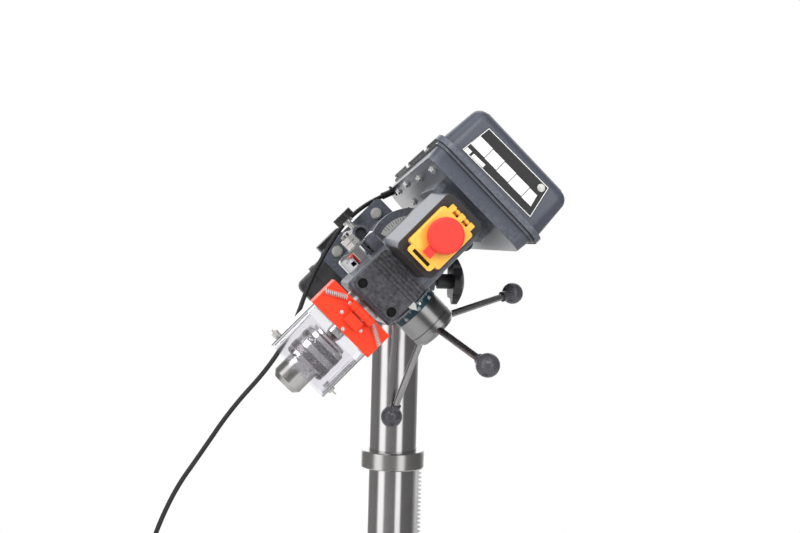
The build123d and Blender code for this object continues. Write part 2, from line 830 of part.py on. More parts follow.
# Switch: frame, two buttons, hinged flap and the stop paddle in the flap
frame_face = plate_face - switch_frame
well_floor = frame_face + button_well + button_travel
start_z = paddle_z + button_spacing
button_face = frame_face + 1
flap_back = frame_face - free_gap
flap_face = flap_back - flap_thickness
flap_low = switch_z - switch_height / 2
flap_high = switch_z + switch_height / 2
flap_pin_z = flap_high + flap_pin_rise
flap_pin_y = flap_back - flap_thickness / 2
flap_pin_half = flap_prong_spacing + flap_prong / 2
with BuildPart() as switch_body:
    slab(facing(plate_face), (switch_x - switch_width / 2, flap_low),
         (switch_x + switch_width / 2, flap_high), switch_frame, switch_corner)
    slab(facing(plate_face), rear_low, rear_high, -switch_rear_depth, 3)
    for z in (paddle_z, start_z):
        rod(facing(well_floor), button_radius + free_gap, button_well + button_travel, (paddle_x, z),
            mode=Mode.SUBTRACT)
        rod(facing(well_floor + 16), button_stem_radius + run_fit, 16, (paddle_x, z), mode=Mode.SUBTRACT)
    rod(sideways(switch_x - flap_pin_half), flap_pin_radius, 2 * flap_pin_half, (flap_pin_y, flap_pin_z))
    for side in (-1, 1):
        x = switch_x + (side * flap_prong_spacing - flap_knuckle) / 2
        rod(sideways(x), 2.6, flap_knuckle, (flap_pin_y, flap_pin_z))
        slab(sideways(x), (flap_pin_y, flap_pin_z - 2.6), (plate_face, flap_pin_z + 2.6), flap_knuckle)
        slab(sideways(x), (frame_face, flap_high - 3), (plate_face, flap_pin_z + 2.6), flap_knuckle)

with BuildPart() as start_button:
    rod(facing(button_face + button_height), button_radius, button_height, (paddle_x, start_z))
    rod(facing(well_floor + 10), button_stem_radius, well_floor + 10 - button_face - 1,
        (paddle_x, start_z))

with BuildPart() as stop_button:
    rod(facing(button_face + button_height), button_radius, button_height, (paddle_x, paddle_z))
    rod(facing(well_floor + 10), button_stem_radius, well_floor + 10 - button_face - 1,
        (paddle_x, paddle_z))

with BuildPart() as switch_flap:
    slab(facing(flap_back), (switch_x - switch_width / 2, flap_low),
         (switch_x + switch_width / 2, flap_high), flap_thickness, switch_corner)
    fillet(switch_flap.faces().sort_by(Axis.Y)[0].edges(), radius=2)
    for step in (-1, 0, 1):
        slab(sideways(switch_x + step * flap_prong_spacing - flap_prong / 2),
             (flap_pin_y - 3.4, flap_high - 4), (flap_pin_y + 3.4, flap_pin_z + 3.4), flap_prong, 3)
    slab(facing(flap_back - 1), (switch_x - loop_half_width, flap_low - loop_drop),
         (switch_x + loop_half_width, flap_low + 8), 5, switch_corner)
    slab(facing(flap_back), (switch_x - loop_window_width / 2, flap_low - loop_window_height - 1),
         (switch_x + loop_window_width / 2, flap_low - 1), flap_thickness, mode=Mode.SUBTRACT)
    rod(facing(flap_back), paddle_stem_radius + run_fit, flap_thickness, (paddle_x, paddle_z),
        mode=Mode.SUBTRACT)
    rod(sideways(switch_x - flap_pin_half), flap_pin_radius + run_fit, 2 * flap_pin_half,
        (flap_pin_y, flap_pin_z), mode=Mode.SUBTRACT)

with BuildPart() as stop_paddle:
    paddle_back = flap_face - button_travel - 1
    rod(facing(paddle_back), paddle_radius, paddle_thickness, (paddle_x, paddle_z))
    fillet(stop_paddle.edges().sort_by(Axis.Y)[0], radius=3.5)
    slab(facing(paddle_back), (paddle_x - tongue_half_width, paddle_z - paddle_radius - tongue_drop),
         (paddle_x + tongue_half_width, paddle_z), 0.45 * paddle_thickness)
    rod(facing(button_face - free_gap), paddle_stem_radius, button_face - free_gap - paddle_back + 1,
        (paddle_x, paddle_z))

# Quill with its rack at the back
quill_pitch = 2 * pi * pinion_pitch_radius / pinion_teeth
with BuildPart() as quill:
    turned(sideways(0), [
        (spindle_radius + run_fit, quill_bottom), (quill_radius - 1, quill_bottom),
        (quill_radius, quill_bottom + 1), (quill_radius, quill_top), (spindle_radius + run_fit, quill_top),
        (spindle_radius + run_fit, quill_top - bearing_height), (quill_bore, quill_top - bearing_height),
        (quill_bore, quill_bottom + bearing_height),
        (spindle_radius + run_fit, quill_bottom + bearing_height)])
    rack_count = int(quill_travel / quill_pitch) + 3
    for gap in range(-2, rack_count):
        z = feed_z + gap * quill_pitch
        slab(facing(quill_radius + 2), (-pinion_length / 2 - 1, z - 1.6),
             (pinion_length / 2 + 1, z + 1.6), 4.4, mode=Mode.SUBTRACT)

# Spindle, splined at the top and tapered into the chuck
with BuildPart() as spindle:
    collar_low = quill_bottom - spindle_collar_height
    turned(sideways(0), [
        (0, chuck_top - 18), (7, chuck_top - 18), (8, chuck_top), (neck_radius, chuck_top + 6),
        (neck_radius, collar_low), (spindle_collar_radius, collar_low),
        (spindle_collar_radius, quill_bottom), (spindle_radius, quill_bottom),
        (spindle_radius, quill_top + 1), (spindle_spline_radius, quill_top + 1),
        (spindle_spline_radius, spindle_top), (0, spindle_top)])

# Chuck: core with three slanting jaw holes, toothed sleeve and three jaws
jaw_tip = chuck_nose


def jaw_axis(index):
    """Plane at a jaw's lower end, facing up along the jaw."""
    turn = 2 * pi * index / 3 + pi / 6
    lean = radians(jaw_lean)
    way = head.from_local_coords((cos(turn) * sin(lean), sin(turn) * sin(lean), cos(lean))) - head.origin
    flat = head.from_local_coords((-sin(turn), cos(turn), 0)) - head.origin
    return Plane(origin=head.from_local_coords((0, 0, jaw_tip)), x_dir=flat, z_dir=way)


with BuildPart() as chuck_body:
    turned(sideways(0), [
        (0, chuck_top - 18), (7, chuck_top - 18), (8, chuck_top), (chuck_core_radius + 2, chuck_top),
        (chuck_core_radius + 4, chuck_top - 2), (chuck_core_radius + 4, chuck_top - 5),
        (chuck_core_radius, chuck_top - 5), (chuck_core_radius, chuck_nose + chuck_nose_chamfer),
        (chuck_nose_radius, chuck_nose), (0, chuck_nose)])
    for index in range(3):
        rod(jaw_axis(index).offset(-jaw_radius), jaw_radius + run_fit,
            jaw_radius + jaw_length + jaw_travel + 1, mode=Mode.SUBTRACT)

sleeve_high = chuck_top - 5.5
knurl_radius = chuck_sleeve_radius + chuck_knurl_proud
sleeve_line = [(chuck_core_radius + run_fit, chuck_sleeve_bottom),
               (chuck_sleeve_radius - 3, chuck_sleeve_bottom), (chuck_sleeve_radius, chuck_sleeve_bottom + 3)]
for low, high in chuck_knurls:
    sleeve_line += [(chuck_sleeve_radius, low), (knurl_radius, low + chuck_knurl_proud),
                    (knurl_radius, high - chuck_knurl_proud), (chuck_sleeve_radius, high)]
sleeve_line += [(chuck_sleeve_radius, sleeve_high - 2.5), (chuck_sleeve_radius - 2.5, sleeve_high),
                (chuck_core_radius + run_fit, sleeve_high)]
with BuildPart() as chuck_sleeve:
    turned(sideways(0), sleeve_line)
    with BuildSketch(across(chuck_sleeve_bottom)):
        with PolarLocations(chuck_sleeve_radius, chuck_teeth):
            Rectangle(8, 4)
    extrude(amount=5, mode=Mode.SUBTRACT)


def jaw_sector(index):
    """Outline of the third of the chuck that a jaw keeps to."""
    turn = 2 * pi * index / 3 + pi / 6
    start = jaw_gap / 2 / sin(pi / 3)
    reach = 4 * chuck_core_radius
    points = [(start * cos(turn), start * sin(turn))]
    for side in (-1, 1):
        points.append((start * cos(turn) + reach * cos(turn + side * pi / 3),
                       start * sin(turn) + reach * sin(turn + side * pi / 3)))
    return points


with BuildPart() as chuck_jaw_1:
    rod(jaw_axis(0), jaw_radius, jaw_length)
    prism(across(jaw_tip + 2), jaw_sector(0), jaw_length, mode=Mode.INTERSECT)

with BuildPart() as chuck_jaw_2:
    rod(jaw_axis(1), jaw_radius, jaw_length)
    prism(across(jaw_tip + 2), jaw_sector(1), jaw_length, mode=Mode.INTERSECT)

with BuildPart() as chuck_jaw_3:
    rod(jaw_axis(2), jaw_radius, jaw_length)
    prism(across(jaw_tip + 2), jaw_sector(2), jaw_length, mode=Mode.INTERSECT)

# Feed shaft with its pinion
with BuildPart() as feed_shaft:
    turned(feed_line(), [
        (0, feed_shaft_left), (6, feed_shaft_left), (6, cup_outer + 3), (feed_shaft_radius, cup_outer + 3),
        (feed_shaft_radius, -pinion_length / 2), (pinion_radius - 2.4, -pinion_length / 2),
        (pinion_radius - 2.4, pinion_length / 2), (pinion_radius + 0.8, pinion_length / 2),
        (pinion_radius + 0.8, feed_boss_end), (feed_shaft_radius, feed_boss_end),
        (feed_shaft_radius, handle_root_x - 12), (0, handle_root_x - 12)])
    with BuildSketch(sideways(-pinion_length / 2)):
        with Locations((feed_y, feed_z)):
            with PolarLocations(pinion_radius - 1.4, pinion_teeth):
                Trapezoid(2.8, 3.2, 78, rotation=-90)
    extrude(amount=pinion_length)


def handle_line(index):
    """Plane at a handle's root in the hub, facing out along the handle."""
    turn = radians(handle_turn) + 2 * pi * index / handle_count
    out = (0, -cos(turn), sin(turn))
    root = (handle_root_x, feed_y + handle_root_radius * out[1], feed_z + handle_root_radius * out[2])
    end = (ball_x, feed_y + ball_circle * out[1], feed_z + ball_circle * out[2])
    start = head.from_local_coords(root)
    way = head.from_local_coords(end) - start
    return Plane(origin=start, x_dir=way.cross(right), z_dir=way)


handle_length = hypot(ball_x - handle_root_x, ball_circle - handle_root_radius)
ball_flat = ball_radius - 1.5
with BuildPart() as feed_hub:
    turned(feed_line(), [
        (feed_shaft_radius, feed_boss_end + 0.5), (14, feed_boss_end + 0.5), (14, ring_end),
        (hub_radius, ring_end), (hub_radius, hub_groove), (hub_radius - 1.5, hub_groove + 0.6),
        (hub_radius - 1.5, hub_groove + 1.4), (hub_radius, hub_groove + 2),
        (hub_radius, hub_end - hub_round),
        (hub_radius - hub_round, hub_end), (0, hub_end), (0, handle_root_x - 12),
        (feed_shaft_radius, handle_root_x - 12)])
    for index in range(handle_count):
        rod(handle_line(index), handle_radius, handle_length, mode=Mode.SUBTRACT)

with BuildPart() as depth_ring:
    turned(feed_line(), [
        (14, feed_boss_end + 0.5), (ring_radius, feed_boss_end + 0.5), (ring_radius, ring_end),
        (14, ring_end)])

with BuildPart() as feed_handles:
    for index in range(handle_count):
        rod(handle_line(index), handle_radius, handle_length - ball_flat)

with BuildPart() as handle_balls:
    neck_root = handle_length - ball_radius - ball_neck
    shoulder = handle_length - sqrt(ball_radius ** 2 - ball_neck_radius ** 2)
    ball_end = handle_length + ball_radius
    for index in range(handle_count):
        line = handle_line(index)
        with BuildSketch(Plane(origin=line.origin, x_dir=line.x_dir, z_dir=-line.y_dir)) as outline:
            with BuildLine():
                Polyline((0, ball_end), (0, handle_length - ball_flat),
                         (handle_radius, handle_length - ball_flat), (handle_radius, neck_root),
                         (ball_neck_radius, neck_root), (ball_neck_radius, shoulder))
                ThreePointArc((ball_neck_radius, shoulder), (ball_radius, handle_length), (0, ball_end))
            make_face()
        revolve(outline.sketch, axis=Axis(line.origin, line.z_dir))

# Depth pointer, seated on the boss beside the ring
pointer_y = feed_y - ring_radius - free_gap
with BuildPart() as depth_pointer:
    slab(sideways(head_half_width + 1), (pointer_y - 2, feed_z - 8),
         (feed_y - feed_boss_radius + 2, feed_z + 2), feed_boss_end - head_half_width - 2)
    prism(facing(pointer_y), [
        (feed_boss_end - 3, feed_z - 8), (feed_boss_end + 1, feed_z - 8), (ring_end - 4, feed_z - 3),
        (feed_boss_end + 1, feed_z + 2), (feed_boss_end - 3, feed_z + 2)], 2)
    rod(sideways(head_half_width), feed_boss_radius, feed_boss_end, (feed_y, feed_z), mode=Mode.SUBTRACT)

# Return spring housing and its two nuts
with BuildPart() as spring_cup:
    turned(feed_line(), [
        (cup_radius, -head_half_width), (cup_radius, cup_outer + 3), (cup_radius - 3, cup_outer),
        (6 + free_gap, cup_outer), (6 + free_gap, cup_outer + cup_wall),
        (cup_radius - 3, cup_outer + cup_wall), (cup_radius - cup_wall, cup_outer + 3),
        (cup_radius - cup_wall, -head_half_width)])
    for x, z in ((cup_outer + 8, feed_z + 9), (cup_outer + 12, feed_z - 22)):
        slab(facing(feed_y), (x, z), (x + cup_window, z + cup_window), cup_radius + 1, mode=Mode.SUBTRACT)

with BuildPart() as jam_nuts:
    for start in (cup_outer - 0.5 - jam_nut_height, cup_outer - 1.5 - 2 * jam_nut_height):
        hexagon(sideways(start), jam_nut_size, jam_nut_height, (feed_y, feed_z))
    rod(sideways(feed_shaft_left), 6, cup_outer - feed_shaft_left, (feed_y, feed_z), mode=Mode.SUBTRACT)

# Motor plate on its two slide bars
motor_y = motor_plate_y + motor_plate_thickness + motor_height
plate_back = motor_plate_y + motor_plate_thickness
motor_bolt_places = [(side * motor_bolt_x, z)
                     for side in (-1, 1) for z in (motor_bolt_low, motor_bolt_high)]
with BuildPart() as motor_plate:
    slab(facing(plate_back), (-motor_plate_half_width, motor_plate_bottom),
         (motor_plate_half_width, motor_plate_top), motor_plate_thickness, motor_plate_corner)
    slab(facing(plate_back), (motor_ear_left, 0), (motor_plate_half_width, motor_ear_top),
         motor_plate_thickness, motor_plate_corner)
    for place in bar_places:
        rod(facing(plate_back), bar_radius, motor_plate_thickness, place, mode=Mode.SUBTRACT)
    for place in motor_bolt_places:
        rod(facing(plate_back), motor_bolt_radius + free_gap, motor_plate_thickness, place,
            mode=Mode.SUBTRACT)

with BuildPart() as slide_bars:
    for place in bar_places:
        rod(facing(plate_back), bar_radius, plate_back - bar_boss_front - bar_recess, place)

with BuildPart() as motor_bolts:
    for place in motor_bolt_places:
        rod(facing(motor_plate_y), motor_bolt_flange, 1.8, place)
        hexagon(facing(motor_plate_y), 0.8 * motor_bolt_flange, motor_bolt_height, place)
        rod(facing(plate_back + foot_thickness), motor_bolt_radius,
            motor_plate_thickness + foot_thickness, place)

# Knurled knob that locks the slide bars
with BuildPart() as tension_knob:
    rod(sideways(bar_left_x - bar_radius - free_gap), tension_stud_radius,
        tension_knob_start - 2 - bar_left_x + bar_radius + free_gap, (tension_y, bar_left_z))
    with BuildSketch(sideways(tension_knob_start)):
        with Locations((tension_y, bar_left_z)):
            Circle(tension_knob_radius)
            with PolarLocations(tension_knob_radius, 18):
                Circle(0.06 * tension_knob_radius, mode=Mode.SUBTRACT)
    extrude(amount=tension_knob_end - tension_knob_start)
    rod(sideways(tension_knob_start + 5), 0.5 * tension_knob_radius, -6, (tension_y, bar_left_z))

# Motor with feet, end shield and terminal box
with BuildPart() as motor_body:
    rod(across(motor_low), motor_radius, motor_high - motor_low, (0, motor_y))
    for z in (motor_low, motor_high - motor_band):
        rod(across(z), motor_band_radius, motor_band, (0, motor_y))
    rod(across(motor_high), motor_shield_radius, motor_shield_height, (0, motor_y))
    slab(facing(plate_back + foot_thickness), (-foot_half_span, motor_bolt_low - 14),
         (foot_half_span, motor_bolt_high + 10), foot_thickness)
    slab(facing(motor_y), (-pedestal_half_width, motor_bolt_low - 14),
         (pedestal_half_width, motor_bolt_high + 10), motor_height)
    slab(sideways(0), (motor_y - terminal_half_width, terminal_low),
         (motor_y + terminal_half_width, terminal_high), -terminal_reach, 6)
    rod(across(motor_low), motor_shaft_radius + run_fit, motor_high - motor_low + motor_shield_height,
        (0, motor_y), mode=Mode.SUBTRACT)
    for place in motor_bolt_places:
        rod(facing(plate_back + foot_thickness), motor_bolt_radius, foot_thickness, place,
            mode=Mode.SUBTRACT)

# Fan cover at the motor's lower end
with BuildPart() as fan_cover:
    rod(across(fan_cover_bottom), fan_cover_radius, motor_low - fan_cover_bottom, (0, motor_y))
    rod(across(fan_cover_bottom + fan_cover_wall), fan_cover_radius - fan_cover_wall,
        motor_low - fan_cover_bottom, (0, motor_y), mode=Mode.SUBTRACT)
    fillet(fan_cover.edges().filter_by(GeomType.CIRCLE).sort_by(spindle_axis)[1],
           radius=fan_cover_round - fan_cover_wall)
    fillet(fan_cover.edges().filter_by(GeomType.CIRCLE).sort_by(spindle_axis)[0], radius=fan_cover_round)
    with BuildSketch(across(fan_cover_bottom)):
        with Locations((0, motor_y)):
            for circle, count in ((18, 6), (32, 10), (45, 14)):
                with PolarLocations(circle, count):
                    SlotOverall(12, 5, rotation=90)
    extrude(amount=fan_cover_wall, mode=Mode.SUBTRACT)


def stepped(plane, radii, bore, foot, foot_radius):
    """Five-step belt pulley on a plane through its axis, with a foot below the steps."""
    points = [(bore, foot), (foot_radius, foot), (foot_radius, pulley_low)]
    for step, radius in enumerate(radii):
        base_z = pulley_low + step * pulley_step
        middle = base_z + pulley_step / 2
        points += [(radius, base_z), (radius, middle - groove_mouth / 2),
                   (radius - groove_depth, middle - groove_floor / 2),
                   (radius - groove_depth, middle + groove_floor / 2),
                   (radius, middle + groove_mouth / 2), (radius, base_z + pulley_step)]
    points.append((bore, pulley_low + len(radii) * pulley_step))
    turned(plane, points)


# Spindle pulley on its sleeve, the motor shaft with its pulley, and the belt on the middle step
motor_line = Plane(origin=head.from_local_coords((0, motor_y, 0)), x_dir=(0, 1, 0), z_dir=right)
with BuildPart() as spindle_pulley:
    stepped(sideways(0), pulley_radii, spindle_spline_radius + run_fit, sleeve_bottom, sleeve_radius)

with BuildPart() as motor_pulley:
    stepped(motor_line, pulley_radii[::-1], 0, motor_low + 2, motor_shaft_radius)

belt_z = pulley_low + (belt_step + 0.5) * pulley_step
belt_outer = pulley_radii[belt_step]
belt_inner = belt_outer - groove_depth + belt_clearance


def belt_section(side):
    """Section of the belt on one run, in head x and z."""
    return [(side * belt_inner, belt_z - belt_inner_width / 2),
            (side * belt_outer, belt_z - belt_outer_width / 2),
            (side * belt_outer, belt_z + belt_outer_width / 2),
            (side * belt_inner, belt_z + belt_inner_width / 2)]


def half_ring(y, points, way):
    """Half a turn of a section about a line along the spindle at depth y."""
    with BuildSketch(facing(y)) as outline:
        with BuildLine():
            Polyline(*points, close=True)
        make_face()
    revolve(outline.sketch, axis=Axis(facing(y).origin, way), revolution_arc=180)


with BuildPart() as belt:
    prism(facing(motor_y), belt_section(1), motor_y)
    prism(facing(motor_y), belt_section(-1), motor_y)
    half_ring(0, belt_section(1), -up)
    half_ring(motor_y, belt_section(1), up)


def housing(z, grow):
    """Outline of the belt housing, seen down the spindle, moved out by an amount."""
    with BuildSketch(across(z)) as outline:
        with BuildLine():
            front = tray_half_front + grow
            back = tray_half_back + grow
            Polyline((-front, tray_front - grow), (front, tray_front - grow), (back, tray_back + grow),
                     (-back, tray_back + grow), close=True)
        make_face()
        fillet(outline.vertices().sort_by(Axis.Y)[:2], radius=housing_front_corner + grow)
        fillet(outline.vertices().sort_by(Axis.Y)[-2:], radius=housing_back_corner + grow)
    return outline.sketch


# Belt tray on the deck of the head, with the lid's hinge along its left edge
lid_rim = lid_overhang + lid_rim_proud
hinge_slope = (tray_half_front - tray_half_back) / (tray_back - tray_front + 2 * lid_rim)
hinge_reach = (lid_rim - hinge_inset) * sqrt(1 + hinge_slope ** 2)


def hinge_spot(y):
    """Plane on the hinge line at a depth y, facing back along it, drawn inwards and down."""
    x = hinge_slope * (y - tray_front + lid_rim) - tray_half_front - hinge_reach
    way = right * hinge_slope + Vector(0, 1, 0)
    return Plane(origin=head.from_local_coords((x, y, tray_top)), x_dir=way.cross(up), z_dir=way)


with BuildPart() as tray:
    extrude(housing(deck_top, 0), amount=tray_top - deck_top, taper=-tray_draft)
    extrude(housing(tray_top - tray_lip, lid_overhang), amount=tray_lip)
    extrude(housing(deck_top + tray_floor, -tray_wall), amount=tray_top - deck_top - tray_floor,
            taper=-tray_draft, mode=Mode.SUBTRACT)
    rod(across(deck_top), deck_window_radius, tray_floor, mode=Mode.SUBTRACT)
    with BuildSketch(across(deck_top)):
        with Locations((0, motor_y - motor_travel / 2)):
            SlotCenterToCenter(motor_travel, 2 * shaft_window_radius, rotation=90)
    extrude(amount=tray_floor, mode=Mode.SUBTRACT)
    for y in hinge_spots:
        rod(hinge_spot(y), hinge_radius, hinge_length)
        slab(hinge_spot(y), (0, hinge_radius - hinge_leaf), (hinge_radius + 6, hinge_radius), hinge_length)

# Lid: drawn sides, rounded top with a raised panel, and a rim
lid_deck = lid_top - lid_panel_step
lid_lean = (lid_deck - tray_top) * tan(radians(lid_draft))
with BuildPart() as lid:
    extrude(housing(tray_top, lid_overhang), amount=lid_deck - tray_top, taper=lid_draft)
    extrude(housing(tray_top, lid_overhang - lid_wall), amount=lid_deck - tray_top - lid_wall,
            taper=lid_draft, mode=Mode.SUBTRACT)
    fillet(lid.faces().filter_by(GeomType.PLANE).sort_by(spindle_axis)[-2].edges(),
           radius=lid_round - lid_wall)
    fillet(lid.faces().filter_by(GeomType.PLANE).sort_by(spindle_axis)[-1].edges(), radius=lid_round)
    extrude(housing(lid_deck - 1, lid_overhang - lid_lean - lid_panel_inset), amount=lid_panel_step + 1)
    with BuildSketch(across(tray_top)) as rim:
        add(across(tray_top).to_local_coords(housing(tray_top, lid_rim)))
        add(across(tray_top).to_local_coords(housing(tray_top, lid_overhang - lid_wall)),
            mode=Mode.SUBTRACT)
    extrude(amount=lid_rim_height)
    for y in hinge_spots:
        slab(hinge_spot(y - free_gap), (-hinge_radius - 2, -hinge_radius - free_gap),
             (hinge_radius + free_gap, hinge_radius), hinge_length + 2 * free_gap, mode=Mode.SUBTRACT)

# Chuck guard: clamp on the quill, hinged frame, clear shield and the clear slider inside it
lug_half = guard_block_half - 4
ring_low = guard_ring_top - guard_ring_height
shield_front = guard_front + guard_plate
with BuildPart() as guard_clamp:
    turned(sideways(0), [
        (quill_radius - 3, ring_low), (guard_ring_radius, ring_low), (guard_ring_radius, guard_ring_top),
        (quill_radius - 3, guard_ring_top)])
    slab(sideways(-lug_half), (guard_pin_y, guard_pin_z - guard_knuckle_radius),
         (-quill_radius, guard_ring_top), 2 * lug_half)
    rod(sideways(-lug_half), guard_knuckle_radius, 2 * lug_half, (guard_pin_y, guard_pin_z))
    rod(across(ring_low - 5), quill_radius, guard_ring_height + 10, mode=Mode.SUBTRACT)
    rod(sideways(-lug_half), guard_pin_radius + run_fit, 2 * lug_half, (guard_pin_y, guard_pin_z),
        mode=Mode.SUBTRACT)

with BuildPart() as guard_frame:
    slab(facing(shield_front), (guard_x - guard_half_width, guard_bottom),
         (guard_x + guard_half_width, guard_top), guard_plate)
    for side in (-1, 1):
        slab(sideways(guard_x + side * shield_half_width), (shield_front, guard_bottom),
             (guard_side_back, guard_top), side * (guard_half_width - shield_half_width))
    slab(facing(guard_front), (-guard_clip_half, guard_clip_low), (guard_clip_half, guard_clip_high),
         guard_clip, 1)
    slab(facing(shield_front), (-lug_half - free_gap, guard_pin_z - 2 * guard_knuckle_radius),
         (lug_half + free_gap, guard_top), guard_plate, mode=Mode.SUBTRACT)
    for side in (-1, 1):
        rod(sideways(side * (lug_half + free_gap)), guard_knuckle_radius,
            side * (guard_crown_half - lug_half - 4), (guard_pin_y, guard_pin_z))
        slab(sideways(side * (lug_half + free_gap)), (guard_pin_y, guard_pin_z - guard_knuckle_radius),
             (shield_front, guard_ring_top), side * (guard_crown_half - lug_half - 4))
    rod(sideways(4 - guard_crown_half), guard_pin_radius, 2 * guard_crown_half - 8,
        (guard_pin_y, guard_pin_z))

shield_inner = shield_half_width - shield_wall
with BuildPart() as guard_shield:
    slab(across(shield_bottom), (guard_x - shield_half_width, shield_front),
         (guard_x + shield_half_width, shield_back), shield_top - shield_bottom, shield_corner)
    slab(across(shield_bottom), (guard_x - shield_inner, shield_front + shield_wall),
         (guard_x + shield_inner, shield_back + 2 * shield_corner), shield_top - shield_bottom,
         shield_corner - shield_wall, mode=Mode.SUBTRACT)
    rod(sideways(guard_x - shield_half_width), wing_bolt_radius, 2 * shield_half_width, (wing_y, wing_z),
        mode=Mode.SUBTRACT)

slider_half = shield_inner - free_gap
slider_front = shield_front + shield_wall + free_gap
with BuildPart() as guard_slider:
    slab(across(slider_bottom), (guard_x - slider_half, slider_front),
         (guard_x + slider_half, shield_back - 6), slider_top - slider_bottom,
         shield_corner - shield_wall - free_gap)
    slab(across(slider_bottom), (guard_x - slider_half + slider_wall, slider_front + slider_wall),
         (guard_x + slider_half - slider_wall, shield_back + 2 * shield_corner), slider_top - slider_bottom,
         shield_corner - shield_wall - free_gap - slider_wall, mode=Mode.SUBTRACT)
    with BuildSketch(sideways(guard_x - slider_half)):
        with Locations((wing_y, wing_z + slider_travel / 2)):
            SlotCenterToCenter(slider_travel, 2 * (wing_bolt_radius + free_gap), rotation=90)
    extrude(amount=2 * slider_half, mode=Mode.SUBTRACT)

with BuildPart() as wing_nuts:
    for side in (-1, 1):
        inside = slider_half - slider_wall - free_gap
        start = guard_x + side * (inside - 2)
        outside = guard_x + side * shield_half_width
        rod(sideways(start), 1.8 * wing_bolt_radius, side * 2, (wing_y, wing_z))
        rod(sideways(start), wing_bolt_radius, side * (shield_half_width - inside + 10), (wing_y, wing_z))
        rod(sideways(outside), wing_hub_radius, side * 7, (wing_y, wing_z))
        slab(sideways(outside + side * 2), (wing_y - wing_span, wing_z - 1.2),
             (wing_y + wing_span, wing_z + 1.2), side * 10, 0.8)


def biarc(start, start_way, end, end_way):
    """Two arcs that leave one point and reach another along given directions."""
    span = end - start
    both = start_way + end_way
    bend = 1 - start_way.dot(end_way)
    reach = (sqrt(span.dot(both) ** 2 + 2 * bend * span.dot(span)) - span.dot(both)) / (2 * bend)
    joint = (start + end + (start_way - end_way) * reach) / 2
    chord = (joint - start).normalized()
    TangentArc(start, joint, tangent=start_way)
    TangentArc(joint, end, tangent=chord * (2 * chord.dot(start_way)) - start_way)


def least_gap(path, radius):
    """Least gap between turns of a tube, measured on points along its path."""
    count = 700
    spots = [path.position_at(step / count) for step in range(count + 1)]
    skip = int(4 * radius / path.length * count) + 1
    return min((spots[i] - spots[j]).length for i in range(count + 1)
               for j in range(i + skip, count + 1)) - 2 * radius


# Two wire springs on the guard frame
spring_out = guard_front - guard_spring_radius - guard_spring_wire / 2 - 0.1
spring_half_turns = 2 * guard_spring_turns
with BuildPart() as guard_springs:
    for side in (-1, 1):
        tail = head.from_local_coords((guard_x + side * (guard_crown_half + 1), spring_out, guard_top - 4))
        tip = head.from_local_coords((guard_x + side * (guard_half_width - 1), spring_out, guard_spring_low))
        along = (tip - tail).normalized()
        first = Vector(0, 1, 0)
        second = along.cross(first)
        climb = (tip - tail).length / spring_half_turns
        steep = climb / pi / guard_spring_radius
        with BuildLine() as spring_line:
            for step in range(spring_half_turns):
                sign = 1 - 2 * (step % 2)
                start = tail + along * (step * climb) + first * (sign * guard_spring_radius)
                end = tail + along * ((step + 1) * climb) - first * (sign * guard_spring_radius)
                biarc(start, (second * sign + along * steep).normalized(),
                      end, (second * -sign + along * steep).normalized())
        with BuildSketch(Plane(origin=spring_line.line @ 0, z_dir=spring_line.line % 0)):
            Circle(guard_spring_wire / 2)
        sweep(path=spring_line.line)
print("guard spring gap", round(least_gap(spring_line.wire(), guard_spring_wire / 2), 2))

# Supply cord: out of a gland under the tray, past the motor, down the left side to a coil on the floor
gland_seat = head.from_local_coords((gland_x, gland_y, deck_top - gland_flange))
gland_way = (head.from_local_coords((-0.3, -0.5, -0.81)) - head.origin).normalized()
gland_end = gland_seat + gland_way * gland_relief
with BuildPart() as cable_gland:
    hexagon(across(deck_top - gland_flange), gland_radius, gland_flange, (gland_x, gland_y))
    rod(Plane(origin=gland_seat, z_dir=gland_way), gland_relief_radius, gland_relief)

cord_drop = [
    gland_end, gland_end + gland_way * 35, Vector(-80, 165, 1441), Vector(-110, 140, 1394),
    Vector(-135, 132, 1343), Vector(-155, 125, 1280), Vector(-190, 117, 1220), Vector(-245, 110, 1158),
    Vector(-288, 104, 1092), Vector(-326, 101, 1036), Vector(-358, 100, 955), Vector(-377, 100, 860),
    Vector(-384, 100, 760), Vector(-383, 100, 660), Vector(-379, 100, 560), Vector(-374, 101, 460),
    Vector(-370, 102, 360), Vector(-367, 104, 265), Vector(-366, 107, 180), Vector(-367, 114, 108),
    Vector(-369, 132, 50), Vector(-370, 170, 13), Vector(-370, 215, cord_radius),
    Vector(-370, 255, cord_radius)]

# The cord is parted where the head's end starts to bend, on a slant along that end's swing
cord_split = (cord_drop[2] + cord_drop[3]) / 2
cord_run = (cord_drop[3] - cord_drop[2]).normalized()
cord_swing = Vector(0, 1, 0).cross(cord_split - Vector(0, cord_split.Y, tilt_height)).normalized()
cord_cut = Plane(origin=cord_split, z_dir=cord_run - cord_swing * cord_run.dot(cord_swing))


def bends(points):
    """Radius of each bend: as large as the two runs beside it allow."""
    radii = []
    for before, here, after in zip(points, points[1:], points[2:]):
        way_in = here - before
        way_out = after - here
        turn = acos(way_in.normalized().dot(way_out.normalized()))
        radii.append(0.45 * min(way_in.length, way_out.length) / tan(turn / 2))
    return radii


top_points = cord_drop[:3] + [cord_split + cord_run * cord_lap]
hang_points = [cord_split - cord_run * cord_lap] + cord_drop[3:]
print("cord bends", [round(radius) for radius in bends(top_points) + bends(hang_points)])
with BuildPart() as cord_top:
    with BuildLine() as top_line:
        FilletPolyline(*top_points, radius=bends(top_points))
    with BuildSketch(Plane(origin=top_points[0], z_dir=top_points[1] - top_points[0])):
        Circle(cord_radius)
    sweep(path=top_line.line)
    rod(cord_cut, 2 * cord_lap, 2 * cord_lap, mode=Mode.SUBTRACT)

